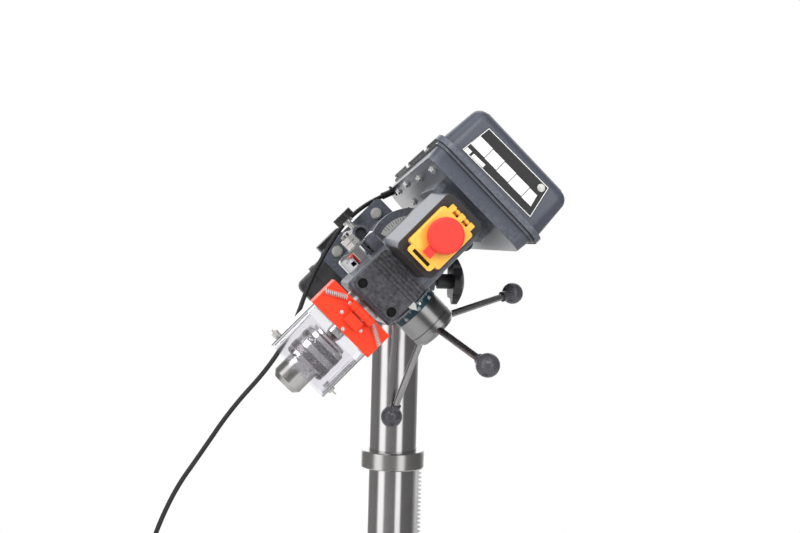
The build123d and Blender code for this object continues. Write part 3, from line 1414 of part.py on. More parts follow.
with BuildPart() as cord:
    with BuildLine() as hang_line:
        FilletPolyline(*hang_points, radius=bends(hang_points))
    with BuildSketch(Plane(origin=hang_points[0], z_dir=hang_points[1] - hang_points[0])):
        Circle(cord_radius)
    sweep(path=hang_line.line)
    rod(cord_cut.offset(free_gap), 2 * cord_lap, -2 * cord_lap, mode=Mode.SUBTRACT)
top_length = top_line.wire().length - cord_lap
hang_length = hang_line.wire().length - cord_lap
cord_section = pi * cord_radius ** 2
print("cord length", round(top_length + hang_length), "volume over section times length",
      round(cord_top.part.volume / cord_section / top_length, 4),
      round(cord.part.volume / cord_section / hang_length, 4))

# Coil on the floor: inward in a lower layer, up, outward in an upper layer and out to the plug
coil_start = cord_drop[-1]
coil_inward = [coil_radius - step * coil_pitch / 2 for step in range(5)]
coil_radii = coil_inward + coil_inward[-2:0:-1] + [coil_exit_radius]
coil_heights = [cord_radius] * 5 + [cord_radius + coil_rise] * 4 + [plug_radius + 0.2]
way = Vector(0, 1, 0)
with BuildPart() as cord_coil:
    with BuildLine() as coil_line:
        here = coil_start + way * (2 * cord_radius)
        Line(coil_start, here)
        side = 1
        for radius, height in zip(coil_radii, coil_heights[1:]):
            there = Vector(here.X + side * 2 * radius, here.Y, height)
            biarc(here, way * side, there, way * -side)
            here = there
            side = -side
        coil_end = here + way * (side * 2 * cord_radius)
        Line(here, coil_end)
    with BuildSketch(Plane(origin=coil_start, z_dir=way)):
        Circle(cord_radius)
    sweep(path=coil_line.line)
print("coil length", round(coil_line.wire().length),
      "gap", round(least_gap(coil_line.wire(), cord_radius), 2))

# Plug with its strain relief and two pins
plug_way = way * side
plug_line = Plane(origin=coil_end, x_dir=(1, 0, 0), z_dir=(0, 0, side))
with BuildPart() as plug:
    turned(plug_line, [
        (0, 0), (cord_radius + 0.6, 0), (plug_relief_radius, plug_relief), (plug_radius - 4, plug_relief),
        (plug_radius, plug_relief + 6), (plug_radius, plug_relief + plug_length),
        (0, plug_relief + plug_length)])
    for offset in (-plug_pin_spacing / 2, plug_pin_spacing / 2):
        rod(Plane(origin=coil_end + plug_way * (plug_relief + plug_length), x_dir=(1, 0, 0),
                  z_dir=plug_way), plug_pin_radius, plug_pin_length, (offset, 0))

pieces = {
    "base": base,
    "column_flange": column_flange,
    "flange_bolts": flange_bolts,
    "column": column,
    "rack": rack,
    "rack_collar": rack_collar,
    "table_bracket": table_bracket,
    "table_crank": table_crank,
    "table_lock": table_lock,
    "table": table,
    "carrier": carrier,
    "angle_scale": angle_scale,
    "star_knob": star_knob,
    "head_casting": head_casting,
    "front_cover": front_cover,
    "switch_box": switch_box,
    "switch_plate": switch_plate,
    "panel_screws": panel_screws,
    "switch_body": switch_body,
    "start_button": start_button,
    "stop_button": stop_button,
    "switch_flap": switch_flap,
    "stop_paddle": stop_paddle,
    "quill": quill,
    "spindle": spindle,
    "chuck_body": chuck_body,
    "chuck_sleeve": chuck_sleeve,
    "chuck_jaw_1": chuck_jaw_1,
    "chuck_jaw_2": chuck_jaw_2,
    "chuck_jaw_3": chuck_jaw_3,
    "feed_shaft": feed_shaft,
    "feed_hub": feed_hub,
    "depth_ring": depth_ring,
    "feed_handles": feed_handles,
    "handle_balls": handle_balls,
    "depth_pointer": depth_pointer,
    "spring_cup": spring_cup,
    "jam_nuts": jam_nuts,
    "motor_plate": motor_plate,
    "slide_bars": slide_bars,
    "motor_bolts": motor_bolts,
    "tension_knob": tension_knob,
    "motor_body": motor_body,
    "fan_cover": fan_cover,
    "spindle_pulley": spindle_pulley,
    "motor_pulley": motor_pulley,
    "belt": belt,
    "tray": tray,
    "lid": lid,
    "guard_clamp": guard_clamp,
    "guard_frame": guard_frame,
    "guard_shield": guard_shield,
    "guard_slider": guard_slider,
    "wing_nuts": wing_nuts,
    "guard_springs": guard_springs,
    "cable_gland": cable_gland,
    "cord_top": cord_top,
    "cord": cord,
    "cord_coil": cord_coil,
    "plug": plug,
}
for name, piece in pieces.items():
    piece.part.label = name
    export_step(piece.part, "parts/" + name + ".step")
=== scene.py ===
from math import cos, hypot, pi, radians, sin

import bmesh
import bpy
from mathutils import Matrix, Vector


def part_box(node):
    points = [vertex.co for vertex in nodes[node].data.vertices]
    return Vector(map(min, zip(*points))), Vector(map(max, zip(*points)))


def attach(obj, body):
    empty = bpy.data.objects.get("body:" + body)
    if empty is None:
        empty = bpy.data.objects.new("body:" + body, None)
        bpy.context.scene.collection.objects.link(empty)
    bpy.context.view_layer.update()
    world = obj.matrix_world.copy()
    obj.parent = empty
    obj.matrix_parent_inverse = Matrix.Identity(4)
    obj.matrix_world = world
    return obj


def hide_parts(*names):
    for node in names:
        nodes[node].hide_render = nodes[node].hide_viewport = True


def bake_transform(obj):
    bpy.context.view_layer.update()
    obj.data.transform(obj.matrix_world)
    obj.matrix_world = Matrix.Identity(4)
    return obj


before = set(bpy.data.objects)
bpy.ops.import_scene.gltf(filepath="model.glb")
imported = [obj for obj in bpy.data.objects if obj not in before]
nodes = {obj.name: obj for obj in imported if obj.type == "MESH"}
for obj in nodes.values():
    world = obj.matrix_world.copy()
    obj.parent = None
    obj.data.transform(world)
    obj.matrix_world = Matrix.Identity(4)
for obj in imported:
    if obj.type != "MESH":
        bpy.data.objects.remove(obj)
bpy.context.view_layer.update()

# Frame of the tilted head: x to its right, y back, z up the spindle. HEAD takes metres, head() millimetres
TILT = radians(44)
TILT_HEIGHT = 1.4
SPINDLE_Y = -0.09
RIGHT = Vector((cos(TILT), 0, -sin(TILT)))
BACK = Vector((0, 1, 0))
UP = Vector((sin(TILT), 0, cos(TILT)))
HEAD = Matrix((
    (RIGHT.x, 0, UP.x, 0),
    (0, 1, 0, SPINDLE_Y),
    (RIGHT.z, 0, UP.z, TILT_HEIGHT),
    (0, 0, 0, 1)))


def head(x, y, z):
    return HEAD @ Vector((x / 1000, y / 1000, z / 1000))


# A Mix node's sockets for colours, which share their names with those for numbers
MIX_FIRST, MIX_SECOND, MIX_RESULT = 6, 7, 2

# Gloss of every coat, and the smoothest that a surface gets
COAT_ROUGHNESS = 0.12
LEAST_ROUGHNESS = 0.02

# Sharpness of an edge at which its paint starts to be worn, and is worn through
WORN_START, WORN_END = 0.515, 0.56


# Materials
def graph(name):
    made = bpy.data.materials.new(name)
    made.use_nodes = True
    tree = made.node_tree
    return made, tree, tree.nodes["Principled BSDF"]


def add(tree, kind, **values):
    node = tree.nodes.new(kind)
    for key, value in values.items():
        if key in node.inputs:
            node.inputs[key].default_value = value
        else:
            setattr(node, key, value)
    return node


def noise(tree, scale, detail=3.0, stretch=None):
    place = add(tree, "ShaderNodeTexCoord")
    made = add(tree, "ShaderNodeTexNoise", Scale=scale, Detail=detail)
    if stretch is None:
        tree.links.new(place.outputs["Object"], made.inputs["Vector"])
    else:
        turn = add(tree, "ShaderNodeMapping", Scale=stretch)
        tree.links.new(place.outputs["Object"], turn.inputs["Vector"])
        tree.links.new(turn.outputs["Vector"], made.inputs["Vector"])
    return made.outputs["Fac"]


def ramp(tree, source, stops, interpolation="LINEAR"):
    made = add(tree, "ShaderNodeValToRGB")
    made.color_ramp.interpolation = interpolation
    while len(made.color_ramp.elements) < len(stops):
        made.color_ramp.elements.new(0.5)
    for element, (spot, colour) in zip(made.color_ramp.elements, stops):
        element.position = spot
        element.color = (*colour, 1)
    tree.links.new(source, made.inputs["Fac"])
    return made.outputs["Color"]


def span(tree, source, low, high, start=0.3, end=0.7):
    made = add(tree, "ShaderNodeMapRange")
    made.inputs["From Min"].default_value = start
    made.inputs["From Max"].default_value = end
    made.inputs["To Min"].default_value = low
    made.inputs["To Max"].default_value = high
    tree.links.new(source, made.inputs["Value"])
    return made.outputs["Result"]


def scaled(colour, by):
    return tuple(min(1.0, part * by) for part in colour)


def surface(name, colour, rough, metal=0.0, vary=0.08, patch=18.0, grain=900.0, bump=0.05, depth=0.0002,
            rough_vary=0.06, stretch=None, coat=0.0, worn=None, **sockets):
    """A material with mottled colour, uneven gloss, fine relief and, where given, worn edges."""
    made, tree, shader = graph(name)
    shader.inputs["Metallic"].default_value = metal
    shader.inputs["Coat Weight"].default_value = coat
    shader.inputs["Coat Roughness"].default_value = COAT_ROUGHNESS
    for key, value in sockets.items():
        shader.inputs[key.replace("_", " ")].default_value = value
    broad = noise(tree, patch, 4.0)
    tint = ramp(tree, broad, [(0.3, scaled(colour, 1 - vary)), (0.7, scaled(colour, 1 + vary))])
    if worn is not None:
        shape = add(tree, "ShaderNodeNewGeometry")
        edge = span(tree, shape.outputs["Pointiness"], 0.0, 1.0, WORN_START, WORN_END)
        breakup = add(tree, "ShaderNodeMath", operation="MULTIPLY")
        tree.links.new(edge, breakup.inputs[0])
        tree.links.new(span(tree, noise(tree, 260.0), 0.1, 0.9), breakup.inputs[1])
        both = add(tree, "ShaderNodeMix", data_type="RGBA")
        tree.links.new(breakup.outputs["Value"], both.inputs["Factor"])
        tree.links.new(tint, both.inputs[MIX_FIRST])
        both.inputs[MIX_SECOND].default_value = (*worn, 1)
        tint = both.outputs[MIX_RESULT]
    tree.links.new(tint, shader.inputs["Base Color"])
    fine = noise(tree, grain, 2.0, stretch)
    smoothest = max(LEAST_ROUGHNESS, rough - rough_vary)
    tree.links.new(span(tree, fine, smoothest, rough + rough_vary), shader.inputs["Roughness"])
    relief = add(tree, "ShaderNodeBump", Strength=bump, Distance=depth)
    tree.links.new(fine, relief.inputs["Height"])
    tree.links.new(relief.outputs["Normal"], shader.inputs["Normal"])
    return made


paint = surface("slate_paint", (0.066, 0.073, 0.094), 0.32, vary=0.04, grain=420.0, bump=0.03,
                rough_vary=0.03, coat=0.10, worn=(0.12, 0.13, 0.155))
iron_paint = surface("casting_paint", (0.060, 0.065, 0.081), 0.34, vary=0.05, grain=160.0, bump=0.08,
                     depth=0.0004, rough_vary=0.03, coat=0.10, worn=(0.12, 0.13, 0.155))
cover_grain = surface("cover_grain", (0.029, 0.028, 0.031), 0.46, vary=0.14, grain=1100.0, bump=0.30,
                      worn=(0.10, 0.10, 0.11), Specular_IOR_Level=0.3)
plate_grain = surface("plate_grain", (0.030, 0.027, 0.027), 0.42, vary=0.12, grain=1500.0, bump=0.25)
black_plastic = surface("black_plastic", (0.022, 0.022, 0.024), 0.38, vary=0.15, grain=700.0, bump=0.12)
ball_plastic = surface("ball_plastic", (0.060, 0.060, 0.070), 0.30, vary=0.03, grain=300.0, bump=0.01,
                       coat=0.3)
motor_black = surface("motor_black", (0.020, 0.019, 0.021), 0.45, vary=0.12, grain=500.0, bump=0.10,
                      Specular_IOR_Level=0.35)
column_steel = surface("column_steel", (0.62, 0.605, 0.605), 0.15, 1.0, vary=0.05, grain=420.0, bump=0.03,
                       rough_vary=0.04, stretch=(0.6, 0.6, 3.0))
ground_steel = surface("ground_steel", (0.55, 0.54, 0.53), 0.24, 1.0, vary=0.03, grain=900.0, bump=0.01,
                       rough_vary=0.03)
hub_steel = surface("hub_steel", (0.35, 0.345, 0.345), 0.20, 1.0, vary=0.03, grain=900.0, bump=0.01,
                    rough_vary=0.03)
dull_steel = surface("dull_steel", (0.40, 0.39, 0.39), 0.30, 1.0, vary=0.06, grain=600.0, bump=0.03)
rack_steel = surface("rack_steel", (0.74, 0.73, 0.73), 0.36, 1.0, vary=0.05, grain=600.0, bump=0.04)
zinc = surface("zinc_plate", (0.72, 0.72, 0.70), 0.24, 0.6, vary=0.05, patch=60.0, grain=900.0, bump=0.02,
               rough_vary=0.04)
chrome = surface("bright_chrome", (0.74, 0.74, 0.75), 0.10, 1.0, vary=0.02, grain=300.0, bump=0.02,
                 rough_vary=0.04)
black_oxide = surface("black_oxide", (0.045, 0.045, 0.048), 0.36, 0.6, vary=0.15, grain=900.0, bump=0.10)
table_iron = surface("table_iron", (0.30, 0.30, 0.31), 0.34, 1.0, vary=0.10, grain=500.0, bump=0.15,
                     stretch=(1.0, 0.1, 1.0))
aluminium = surface("pulley_aluminium", (0.60, 0.60, 0.61), 0.32, 1.0, vary=0.06, grain=600.0, bump=0.10)
scale_plate = surface("scale_plate", (0.60, 0.60, 0.58), 0.36, 0.4, vary=0.05, grain=900.0, bump=0.05)
ring_blue = surface("ring_blue", (0.014, 0.042, 0.062), 0.36, 0.3, vary=0.10, grain=900.0, bump=0.06)
yellow = surface("yellow_plastic", (0.90, 0.48, 0.070), 0.34, vary=0.04, grain=700.0, bump=0.10)
red = surface("red_plastic", (0.86, 0.042, 0.030), 0.36, vary=0.04, grain=700.0, bump=0.10)
guard_red = surface("guard_red", (0.88, 0.050, 0.018), 0.40, vary=0.04, grain=500.0, bump=0.05,
                    Specular_IOR_Level=0.3)
green = surface("green_plastic", (0.02, 0.22, 0.06), 0.36, vary=0.05, grain=700.0, bump=0.10)
white_paint = surface("white_paint", (0.78, 0.78, 0.76), 0.40, vary=0.04, grain=900.0, bump=0.06)
rubber = surface("cord_rubber", (0.018, 0.018, 0.019), 0.46, vary=0.15, grain=900.0, bump=0.18)
label_black = surface("label_black", (0.012, 0.012, 0.013), 0.30, vary=0.10, grain=900.0, bump=0.04)
# Painted shade: near black, for the shade inside the cover's holes
painted_shade_black = surface("painted_shade_black", (0.004, 0.004, 0.004), 0.8, vary=0.1, grain=300.0, bump=0.05)
# Darker slate for the slide bar's end in its bore: partly the bar's own dark colour, partly painted shade
# of the bore
bar_end_shade_slate = surface("bar_end_shade_slate", (0.050, 0.054, 0.066), 0.6, vary=0.1, grain=300.0, bump=0.05)
# Painted shade: near black for the shaded undersides of the tray's lip and the lid's edge
underside_shade_black = surface("underside_shade_black", (0.010, 0.010, 0.011), 0.5, vary=0.1, grain=300.0, bump=0.05)
clear = surface("clear_plastic", (0.88, 0.872, 0.90), 0.05, vary=0.01, grain=200.0, bump=0.01,
                rough_vary=0.02, Transmission_Weight=1.0, IOR=1.45)


def banded(name, low, high, bands, rough):
    """Bright turned metal with darker knurled bands, given by place along the spindle in millimetres."""
    made, tree, shader = graph(name)
    shader.inputs["Metallic"].default_value = 1.0
    place = add(tree, "ShaderNodeTexCoord")
    along = add(tree, "ShaderNodeVectorMath", operation="DOT_PRODUCT")
    along.inputs[1].default_value = UP
    tree.links.new(place.outputs["Object"], along.inputs[0])
    base = TILT_HEIGHT * UP.z
    height = span(tree, along.outputs["Value"], 0.0, 1.0, base + low / 1000, base + high / 1000)
    bright, dark = (0.52, 0.51, 0.50), (0.16, 0.155, 0.15)
    stops = [(0.0, bright)]
    knurl = [(0.0, (0.0, 0.0, 0.0))]
    for start, end in bands:
        for spot, colour, deep in ((start, dark, 1.0), (end, bright, 0.0)):
            share = (spot - low) / (high - low)
            stops.append((share, colour))
            knurl.append((share, (deep, deep, deep)))
    tree.links.new(ramp(tree, height, stops, "CONSTANT"), shader.inputs["Base Color"])
    fine = noise(tree, 900.0, 2.0)
    tree.links.new(span(tree, fine, rough - 0.06, rough + 0.10), shader.inputs["Roughness"])
    teeth = add(tree, "ShaderNodeTexVoronoi", Scale=850.0)
    tree.links.new(place.outputs["Object"], teeth.inputs["Vector"])
    where = add(tree, "ShaderNodeMath", operation="MULTIPLY")
    tree.links.new(ramp(tree, height, knurl, "CONSTANT"), where.inputs[0])
    tree.links.new(teeth.outputs["Distance"], where.inputs[1])
    relief = add(tree, "ShaderNodeBump", Strength=0.6, Distance=0.0004)
    tree.links.new(where.outputs["Value"], relief.inputs["Height"])
    tree.links.new(relief.outputs["Normal"], shader.inputs["Normal"])
    return made


chuck_bands = banded("chuck_bands", -222.0, -170.0, ((-210.5, -200.0), (-191.0, -182.0)), 0.24)

looks = {
    paint: "tray lid switch_box",
    iron_paint: "base column_flange table_bracket carrier head_casting motor_plate",
    cover_grain: "front_cover",
    plate_grain: "switch_plate",
    black_plastic: "star_knob cable_gland tension_knob",
    motor_black: "motor_body fan_cover",
    ball_plastic: "handle_balls",
    column_steel: "column",
    ground_steel: "rack_collar quill spindle chuck_body chuck_jaw_1 chuck_jaw_2 chuck_jaw_3",
    hub_steel: "feed_hub feed_shaft",
    dull_steel: "slide_bars feed_handles",
    rack_steel: "rack",
    zinc: "flange_bolts jam_nuts motor_bolts wing_nuts guard_springs",
    chrome: "spring_cup",
    chuck_bands: "chuck_sleeve",
    black_oxide: "table_crank table_lock panel_screws",
    table_iron: "table",
    aluminium: "spindle_pulley motor_pulley",
    scale_plate: "angle_scale",
    ring_blue: "depth_ring",
    yellow: "switch_body switch_flap",
    red: "stop_paddle stop_button",
    green: "start_button",
    guard_red: "guard_frame guard_clamp",
    clear: "guard_shield guard_slider",
    white_paint: "depth_pointer",
    rubber: "belt plug cord_top cord cord_coil",
}
for look, names in looks.items():
    for name in names.split():
        data = nodes[name].data
        data.materials.clear()
        data.materials.append(look)


def second_look(name, look, test):
    """Gives the faces of a CAD node whose middles pass a test, in head millimetres, another finish."""
    data = nodes[name].data
    data.materials.append(look)
    turn = HEAD.inverted()
    for face in data.polygons:
        if test(turn @ face.center * 1000):
            face.material_index = len(data.materials) - 1


# Where the second finishes begin: in head millimetres, but in metres across the row frame for the first two
STAR_STUD_ACROSS = 0.0575
CRANK_GRIP_ACROSS = 0.1035
KNOB_STUD_X = -91.5
MOTOR_Y = 361
MOTOR_SHAFT_REACH = 9.8
SWITCH_REAR_Y = -138.5
TRAY_LIP_UNDERSIDE_Z = 97
TRAY_TOP_Z = 101
UNDERSIDE_FACE_REACH = 0.1
HINGE_SLOPE = 0.03268
HINGE_FRONT_X = -91.4
HINGE_FRONT_Y = -103.5
KNUCKLE_LOW_Z = 97.9
KNUCKLE_REACH = 3.1
BOX_RIM_Y = -134
BOX_FLOOR_SHADE_Z = -35.5


def across(spot):
    """How far right of the column a spot of the head lies, in metres."""
    return (HEAD @ (spot / 1000)).x


def on_knuckle(spot):
    """Whether a spot lies by the hinge line, which runs along the tray's slanted left edge."""
    aside = spot.x - HINGE_SLOPE * (spot.y - HINGE_FRONT_Y) - HINGE_FRONT_X
    return spot.z > KNUCKLE_LOW_Z and abs(aside) < KNUCKLE_REACH


second_look("tension_knob", zinc, lambda spot: spot.x > KNOB_STUD_X)
second_look("star_knob", zinc, lambda spot: across(spot) < STAR_STUD_ACROSS)
second_look("table_crank", black_plastic, lambda spot: across(spot) > CRANK_GRIP_ACROSS)
second_look("motor_pulley", ground_steel, lambda spot: hypot(spot.x, spot.y - MOTOR_Y) < MOTOR_SHAFT_REACH)
second_look("switch_body", black_plastic, lambda spot: spot.y > SWITCH_REAR_Y)
# Painted shade: the downward faces under the tray's lip are painted near black for the shade beneath it
second_look("tray", underside_shade_black, lambda spot: abs(spot.z - TRAY_LIP_UNDERSIDE_Z) < UNDERSIDE_FACE_REACH)
second_look("tray", zinc, on_knuckle)
# The switch box's front rim takes the switch plate's black, partly the plate's own colour reaching the edge
# and partly painted shade; its floor is painted black as painted shade under the box
second_look("switch_box", plate_grain, lambda spot: spot.y < BOX_RIM_Y or spot.z < BOX_FLOOR_SHADE_Z)
# Painted shade: the lid's faces at the tray's top, under its edge, are painted near black for the shade
# beneath them
second_look("lid", underside_shade_black, lambda spot: abs(spot.z - TRAY_TOP_Z) < UNDERSIDE_FACE_REACH)


# Pieces, whose edges stay sharp from this angle up
SMOOTH_ANGLE = radians(40)


def piece(name, mesh, look, body):
    """Turns a bmesh in the row frame, in metres, into a piece that rides on a body."""
    bmesh.ops.recalc_face_normals(mesh, faces=mesh.faces)
    data = bpy.data.meshes.new(name)
    mesh.to_mesh(data)
    mesh.free()
    data.materials.append(look)
    made = bpy.data.objects.new(name, data)
    bpy.context.scene.collection.objects.link(made)
    data.shade_smooth()
    data.set_sharp_from_angle(angle=SMOOTH_ANGLE)
    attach(made, body)


# Supply cord: the route's points, then the turns of the coil on the floor, on one smooth line
CORD_RADIUS = 3.5
GLAND_RELIEF = 0.022
STRAIGHT_START = 0.035
first_way = (RIGHT * -0.3 + BACK * -0.5 + UP * -0.81).normalized()
gland_seat = head(-63.5, 334, 73)
exit_point = gland_seat + first_way * GLAND_RELIEF
route = [
    (-80, 165, 1441), (-110, 140, 1394), (-135, 132, 1343), (-155, 125, 1280), (-190, 117, 1220),
    (-245, 110, 1158), (-288, 104, 1092), (-326, 101, 1036), (-358, 100, 955), (-377, 100, 860),
    (-384, 100, 760), (-383, 100, 660), (-379, 100, 560), (-374, 101, 460), (-370, 102, 360),
    (-367, 104, 265), (-366, 107, 180), (-367, 114, 108), (-369, 132, 50), (-370, 170, 13),
    (-370, 215, CORD_RADIUS), (-370, 255, CORD_RADIUS)]
cord_points = [exit_point, exit_point + first_way * STRAIGHT_START]
cord_points += [Vector(point) / 1000 for point in route]

# Half turns of the coil: inward in a lower layer, outward in an upper one, the last one out to the plug
COIL_Y = 262
PLUG_Y = 255
PLUG_HEIGHT = 19.2
UPPER_LAYER = 11.7
COIL_RADII = (42, 37.9, 33.8, 29.7, 25.6, 29.7, 33.8, 37.9, 52)
TURN_STEPS = 6
HALF_STEP = 90 / TURN_STEPS
coil_heights = [CORD_RADIUS] * 5 + [UPPER_LAYER] * 4 + [PLUG_HEIGHT]
coil_x = route[-1][0]
side = 1
for turn, radius in enumerate(COIL_RADII):
    middle = coil_x + side * radius
    reach = radius / cos(radians(HALF_STEP))
    low, high = coil_heights[turn], coil_heights[turn + 1]
    for step in range(TURN_STEPS):
        angle = radians(HALF_STEP * (2 * step + 1))
        cord_points.append(Vector((
            middle - side * reach * cos(angle),
            COIL_Y + side * reach * sin(angle),
            low + (high - low) * (step + 0.5) / TURN_STEPS)) / 1000)
    coil_x += side * 2 * radius
    side = -side
cord_points.append(Vector((coil_x, PLUG_Y, PLUG_HEIGHT)) / 1000)
line = bpy.data.curves.new("cord_line", "CURVE")
line.dimensions = "3D"
line.resolution_u = 10
spline = line.splines.new("NURBS")
spline.points.add(len(cord_points) - 1)
for spot, point in zip(spline.points, cord_points):
    spot.co = (*point, 1)
spline.order_u = 3
spline.use_endpoint_u = True
guide = bpy.data.objects.new("cord_guide", line)
bpy.context.scene.collection.objects.link(guide)
cord_path = [tuple(vertex.co) for vertex in bpy.data.meshes.new_from_object(guide).vertices]
line.bevel_depth = CORD_RADIUS / 1000
line.bevel_resolution = 4
line.use_fill_caps = True
cord_mesh = bpy.data.meshes.new_from_object(guide)
bpy.data.objects.remove(guide)
cord_mesh.materials.clear()
cord_mesh.materials.append(rubber)
cord_mesh.shade_smooth()
supply_cord = bpy.data.objects.new("supply_cord", cord_mesh)
bpy.context.scene.collection.objects.link(supply_cord)
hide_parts("cord_top", "cord", "cord_coil")
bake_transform(supply_cord)


# Shapes for small pieces: sizes in millimetres, bases in metres of the row frame
def stack(mesh, rings):
    """Joins rings of points, all as long as the first, into a closed skin."""
    rows = [[mesh.verts.new(point) for point in ring] for ring in rings]
    count = len(rows[0])
    for lower, upper in zip(rows, rows[1:]):
        for index in range(count):
            after = (index + 1) % count
            mesh.faces.new((lower[index], lower[after], upper[after], upper[index]))
    mesh.faces.new(rows[0][::-1])
    mesh.faces.new(rows[-1])


def lathe(mesh, base, way, profile, sides):
    """Turns a profile of (radius, height) about a line."""
    way = way.normalized()
    first = way.orthogonal().normalized()
    second = way.cross(first)
    turns = [2 * pi * step / sides for step in range(sides)]
    rings = []
    for radius, height in profile:
        rings.append([base + (way * height + (first * cos(turn) + second * sin(turn)) * radius) / 1000
                      for turn in turns])
    stack(mesh, rings)


def hex_bolt(mesh, base, way, size, height, washer):
    """A hexagon head on a washer, both given by their outer radius."""
    washer_top = 1.4
    lathe(mesh, base, way, [(washer, 0), (washer, 1.0), (washer - 0.4, washer_top)], 32)
    lathe(mesh, base, way, [(size, washer_top), (size, height - 0.8), (size - 1.0, height)], 6)


def plate(mesh, outline, at, low, high):
    """Flat plate: an outline of (u, v), placed by a function of u, v and height."""
    stack(mesh, [[at(u, v, height) for u, v in outline] for height in (low, high)])


def rectangle(u1, v1, u2, v2):
    return [(u1, v1), (u2, v1), (u2, v2), (u1, v2)]


def inset(outline, by):
    """Moves a convex outline inwards, given clockwise or not."""
    area = sum(a[0] * b[1] - b[0] * a[1] for a, b in zip(outline, outline[1:] + outline[:1]))
    sign = 1 if area > 0 else -1
    lines = []
    for a, b in zip(outline, outline[1:] + outline[:1]):
        length = hypot(b[0] - a[0], b[1] - a[1])
        normal = (-(b[1] - a[1]) / length * sign, (b[0] - a[0]) / length * sign)
        lines.append((normal, normal[0] * a[0] + normal[1] * a[1] + by))
    made = []
    for (n, d), (m, e) in zip(lines[-1:] + lines[:-1], lines):
        cross = n[0] * m[1] - n[1] * m[0]
        made.append(((d * m[1] - e * n[1]) / cross, (e * n[0] - d * m[0]) / cross))
    return made


def frame_of(mesh, outer, inner, at, low, high):
    """Flat frame between two outlines with as many points."""
    rows = [[mesh.verts.new(at(u, v, height)) for u, v in outline]
            for outline, height in ((outer, low), (outer, high), (inner, high), (inner, low))]
    count = len(outer)
    for first, second in zip(rows, rows[1:] + rows[:1]):
        for index in range(count):
            after = (index + 1) % count
            mesh.faces.new((first[index], first[after], second[after], second[index]))


# Bare data plate on the lid's leaning front: dark ground, pale border and blank pale fields
LID_FRONT_Y = -98.5
LID_LEAN = 0.08046
GROUND_LAYER = (-0.3, 0.35)
FIELD_LAYER = (0.2, 0.42)


def on_lid(u, v, height):
    """u is across the lid's front, v up the spindle."""
    return head(u, LID_FRONT_Y + (v - TRAY_TOP_Z) * LID_LEAN - height, v)


label = [(-61.5, 112.5), (61.5, 115.5), (52, 161), (-56.5, 158)]
fields = [
    [(-59.6, 126), (-34, 126.5), (-34, 142.5), (-57, 142)],
    [(-33, 126), (-12.5, 126.5), (-12.5, 142.5), (-33, 142)],
    [(-11.5, 126), (9, 126.5), (9, 142.5), (-11.5, 142)],
    [(10, 126), (33.5, 126.5), (33.5, 142.5), (10, 142)],
    [(34.5, 126), (51.5, 126.5), (47.5, 142.5), (34.5, 142)],
    [(-59, 113.9), (-50.5, 114.2), (-50, 120.4), (-58.3, 120)],
    [(-47, 115), (-26.5, 115.8), (-26.5, 121), (-46.7, 120)]]
mesh = bmesh.new()
plate(mesh, label, on_lid, *GROUND_LAYER)
piece("data_plate", mesh, label_black, "lid")
mesh = bmesh.new()
frame_of(mesh, inset(label, 0.7), inset(label, 1.7), on_lid, *FIELD_LAYER)
for field in fields:
    plate(mesh, field, on_lid, *FIELD_LAYER)
piece("data_plate_fields", mesh, white_paint, "lid")
mesh = bmesh.new()
lathe(mesh, on_lid(44.5, 153, 0.2), head(0, -1, 0) - head(0, 0, 0), [(5.2, 0), (5.2, 0.4), (4.8, 0.6)], 40)
piece("data_plate_disc", mesh, scale_plate, "lid")

# Marks on the depth ring and the angle scale; the ring's plain numbers are drawn in strokes
MARK_LAYER = (-0.1, 0.12)
STROKES = {"0": "abcdef", "1": "bc", "2": "abged", "3": "abgcd", "4": "fgbc", "5": "afgcd", "6": "afgecd",
           "7": "abc", "8": "abcdefg", "9": "gfabcd"}
SEGMENTS = {"a": ((0, 2), (1, 2)), "b": ((1, 2), (1, 1)), "c": ((1, 1), (1, 0)), "d": ((0, 0), (1, 0)),
            "e": ((0, 1), (0, 0)), "f": ((0, 2), (0, 1)), "g": ((0, 1), (1, 1))}


def number(mesh, text, at, u, v, size, thick):
    """A number in straight strokes, centred on u, v, placed by a function of u, v and height."""
    step = size * 0.85
    wide = size * 0.56
    half = thick / 2
    for index, digit in enumerate(text):
        left = u + (index - (len(text) - 1) / 2) * step - wide / 2
        for name in STROKES[digit]:
            ends = [(left + x * wide, v + (y - 1) * size / 2) for x, y in SEGMENTS[name]]
            low = [min(parts) - half for parts in zip(*ends)]
            high = [max(parts) + half for parts in zip(*ends)]
            plate(mesh, rectangle(*low, *high), at, *MARK_LAYER)


RING_RADIUS = 33.5
FEED_Y = 36
FEED_Z = -58
RING_TICKS = 90
RING_TICK_HALF = 0.22
RING_TICK_NEAR = 48.6
RING_NUMBERS_AT = 57
RING_NUMBER_SIZE = 3.4
RING_STROKE = 0.5


def on_ring(u, v, height):
    """u is round the ring in millimetres from its front, v along the feed shaft."""
    angle = u / RING_RADIUS
    reach = RING_RADIUS + height
    return head(v, FEED_Y - reach * cos(angle), FEED_Z + reach * sin(angle))


mesh = bmesh.new()
for tick in range(RING_TICKS):
    u = (tick - RING_TICKS / 2) * 2 * pi * RING_RADIUS / RING_TICKS
    far = 53.5 if tick % 5 == 0 else 51.5
    outline = rectangle(u - RING_TICK_HALF, RING_TICK_NEAR, u + RING_TICK_HALF, far)
    plate(mesh, outline, on_ring, *MARK_LAYER)
    if tick % 10 == 5:
        text = str((tick - 5) // 10 * 10)
        number(mesh, text, on_ring, u, RING_NUMBERS_AT, RING_NUMBER_SIZE, RING_STROKE)
piece("ring_marks", mesh, white_paint, "feed")
mesh = bmesh.new()
screw_seat = on_ring(6.5, 53, 0)
lathe(mesh, screw_seat, on_ring(6.5, 53, 1) - screw_seat, [(2.1, -0.3), (2.1, 0.08), (1.9, 0.14)], 24)
piece("ring_screw", mesh, zinc, "feed")

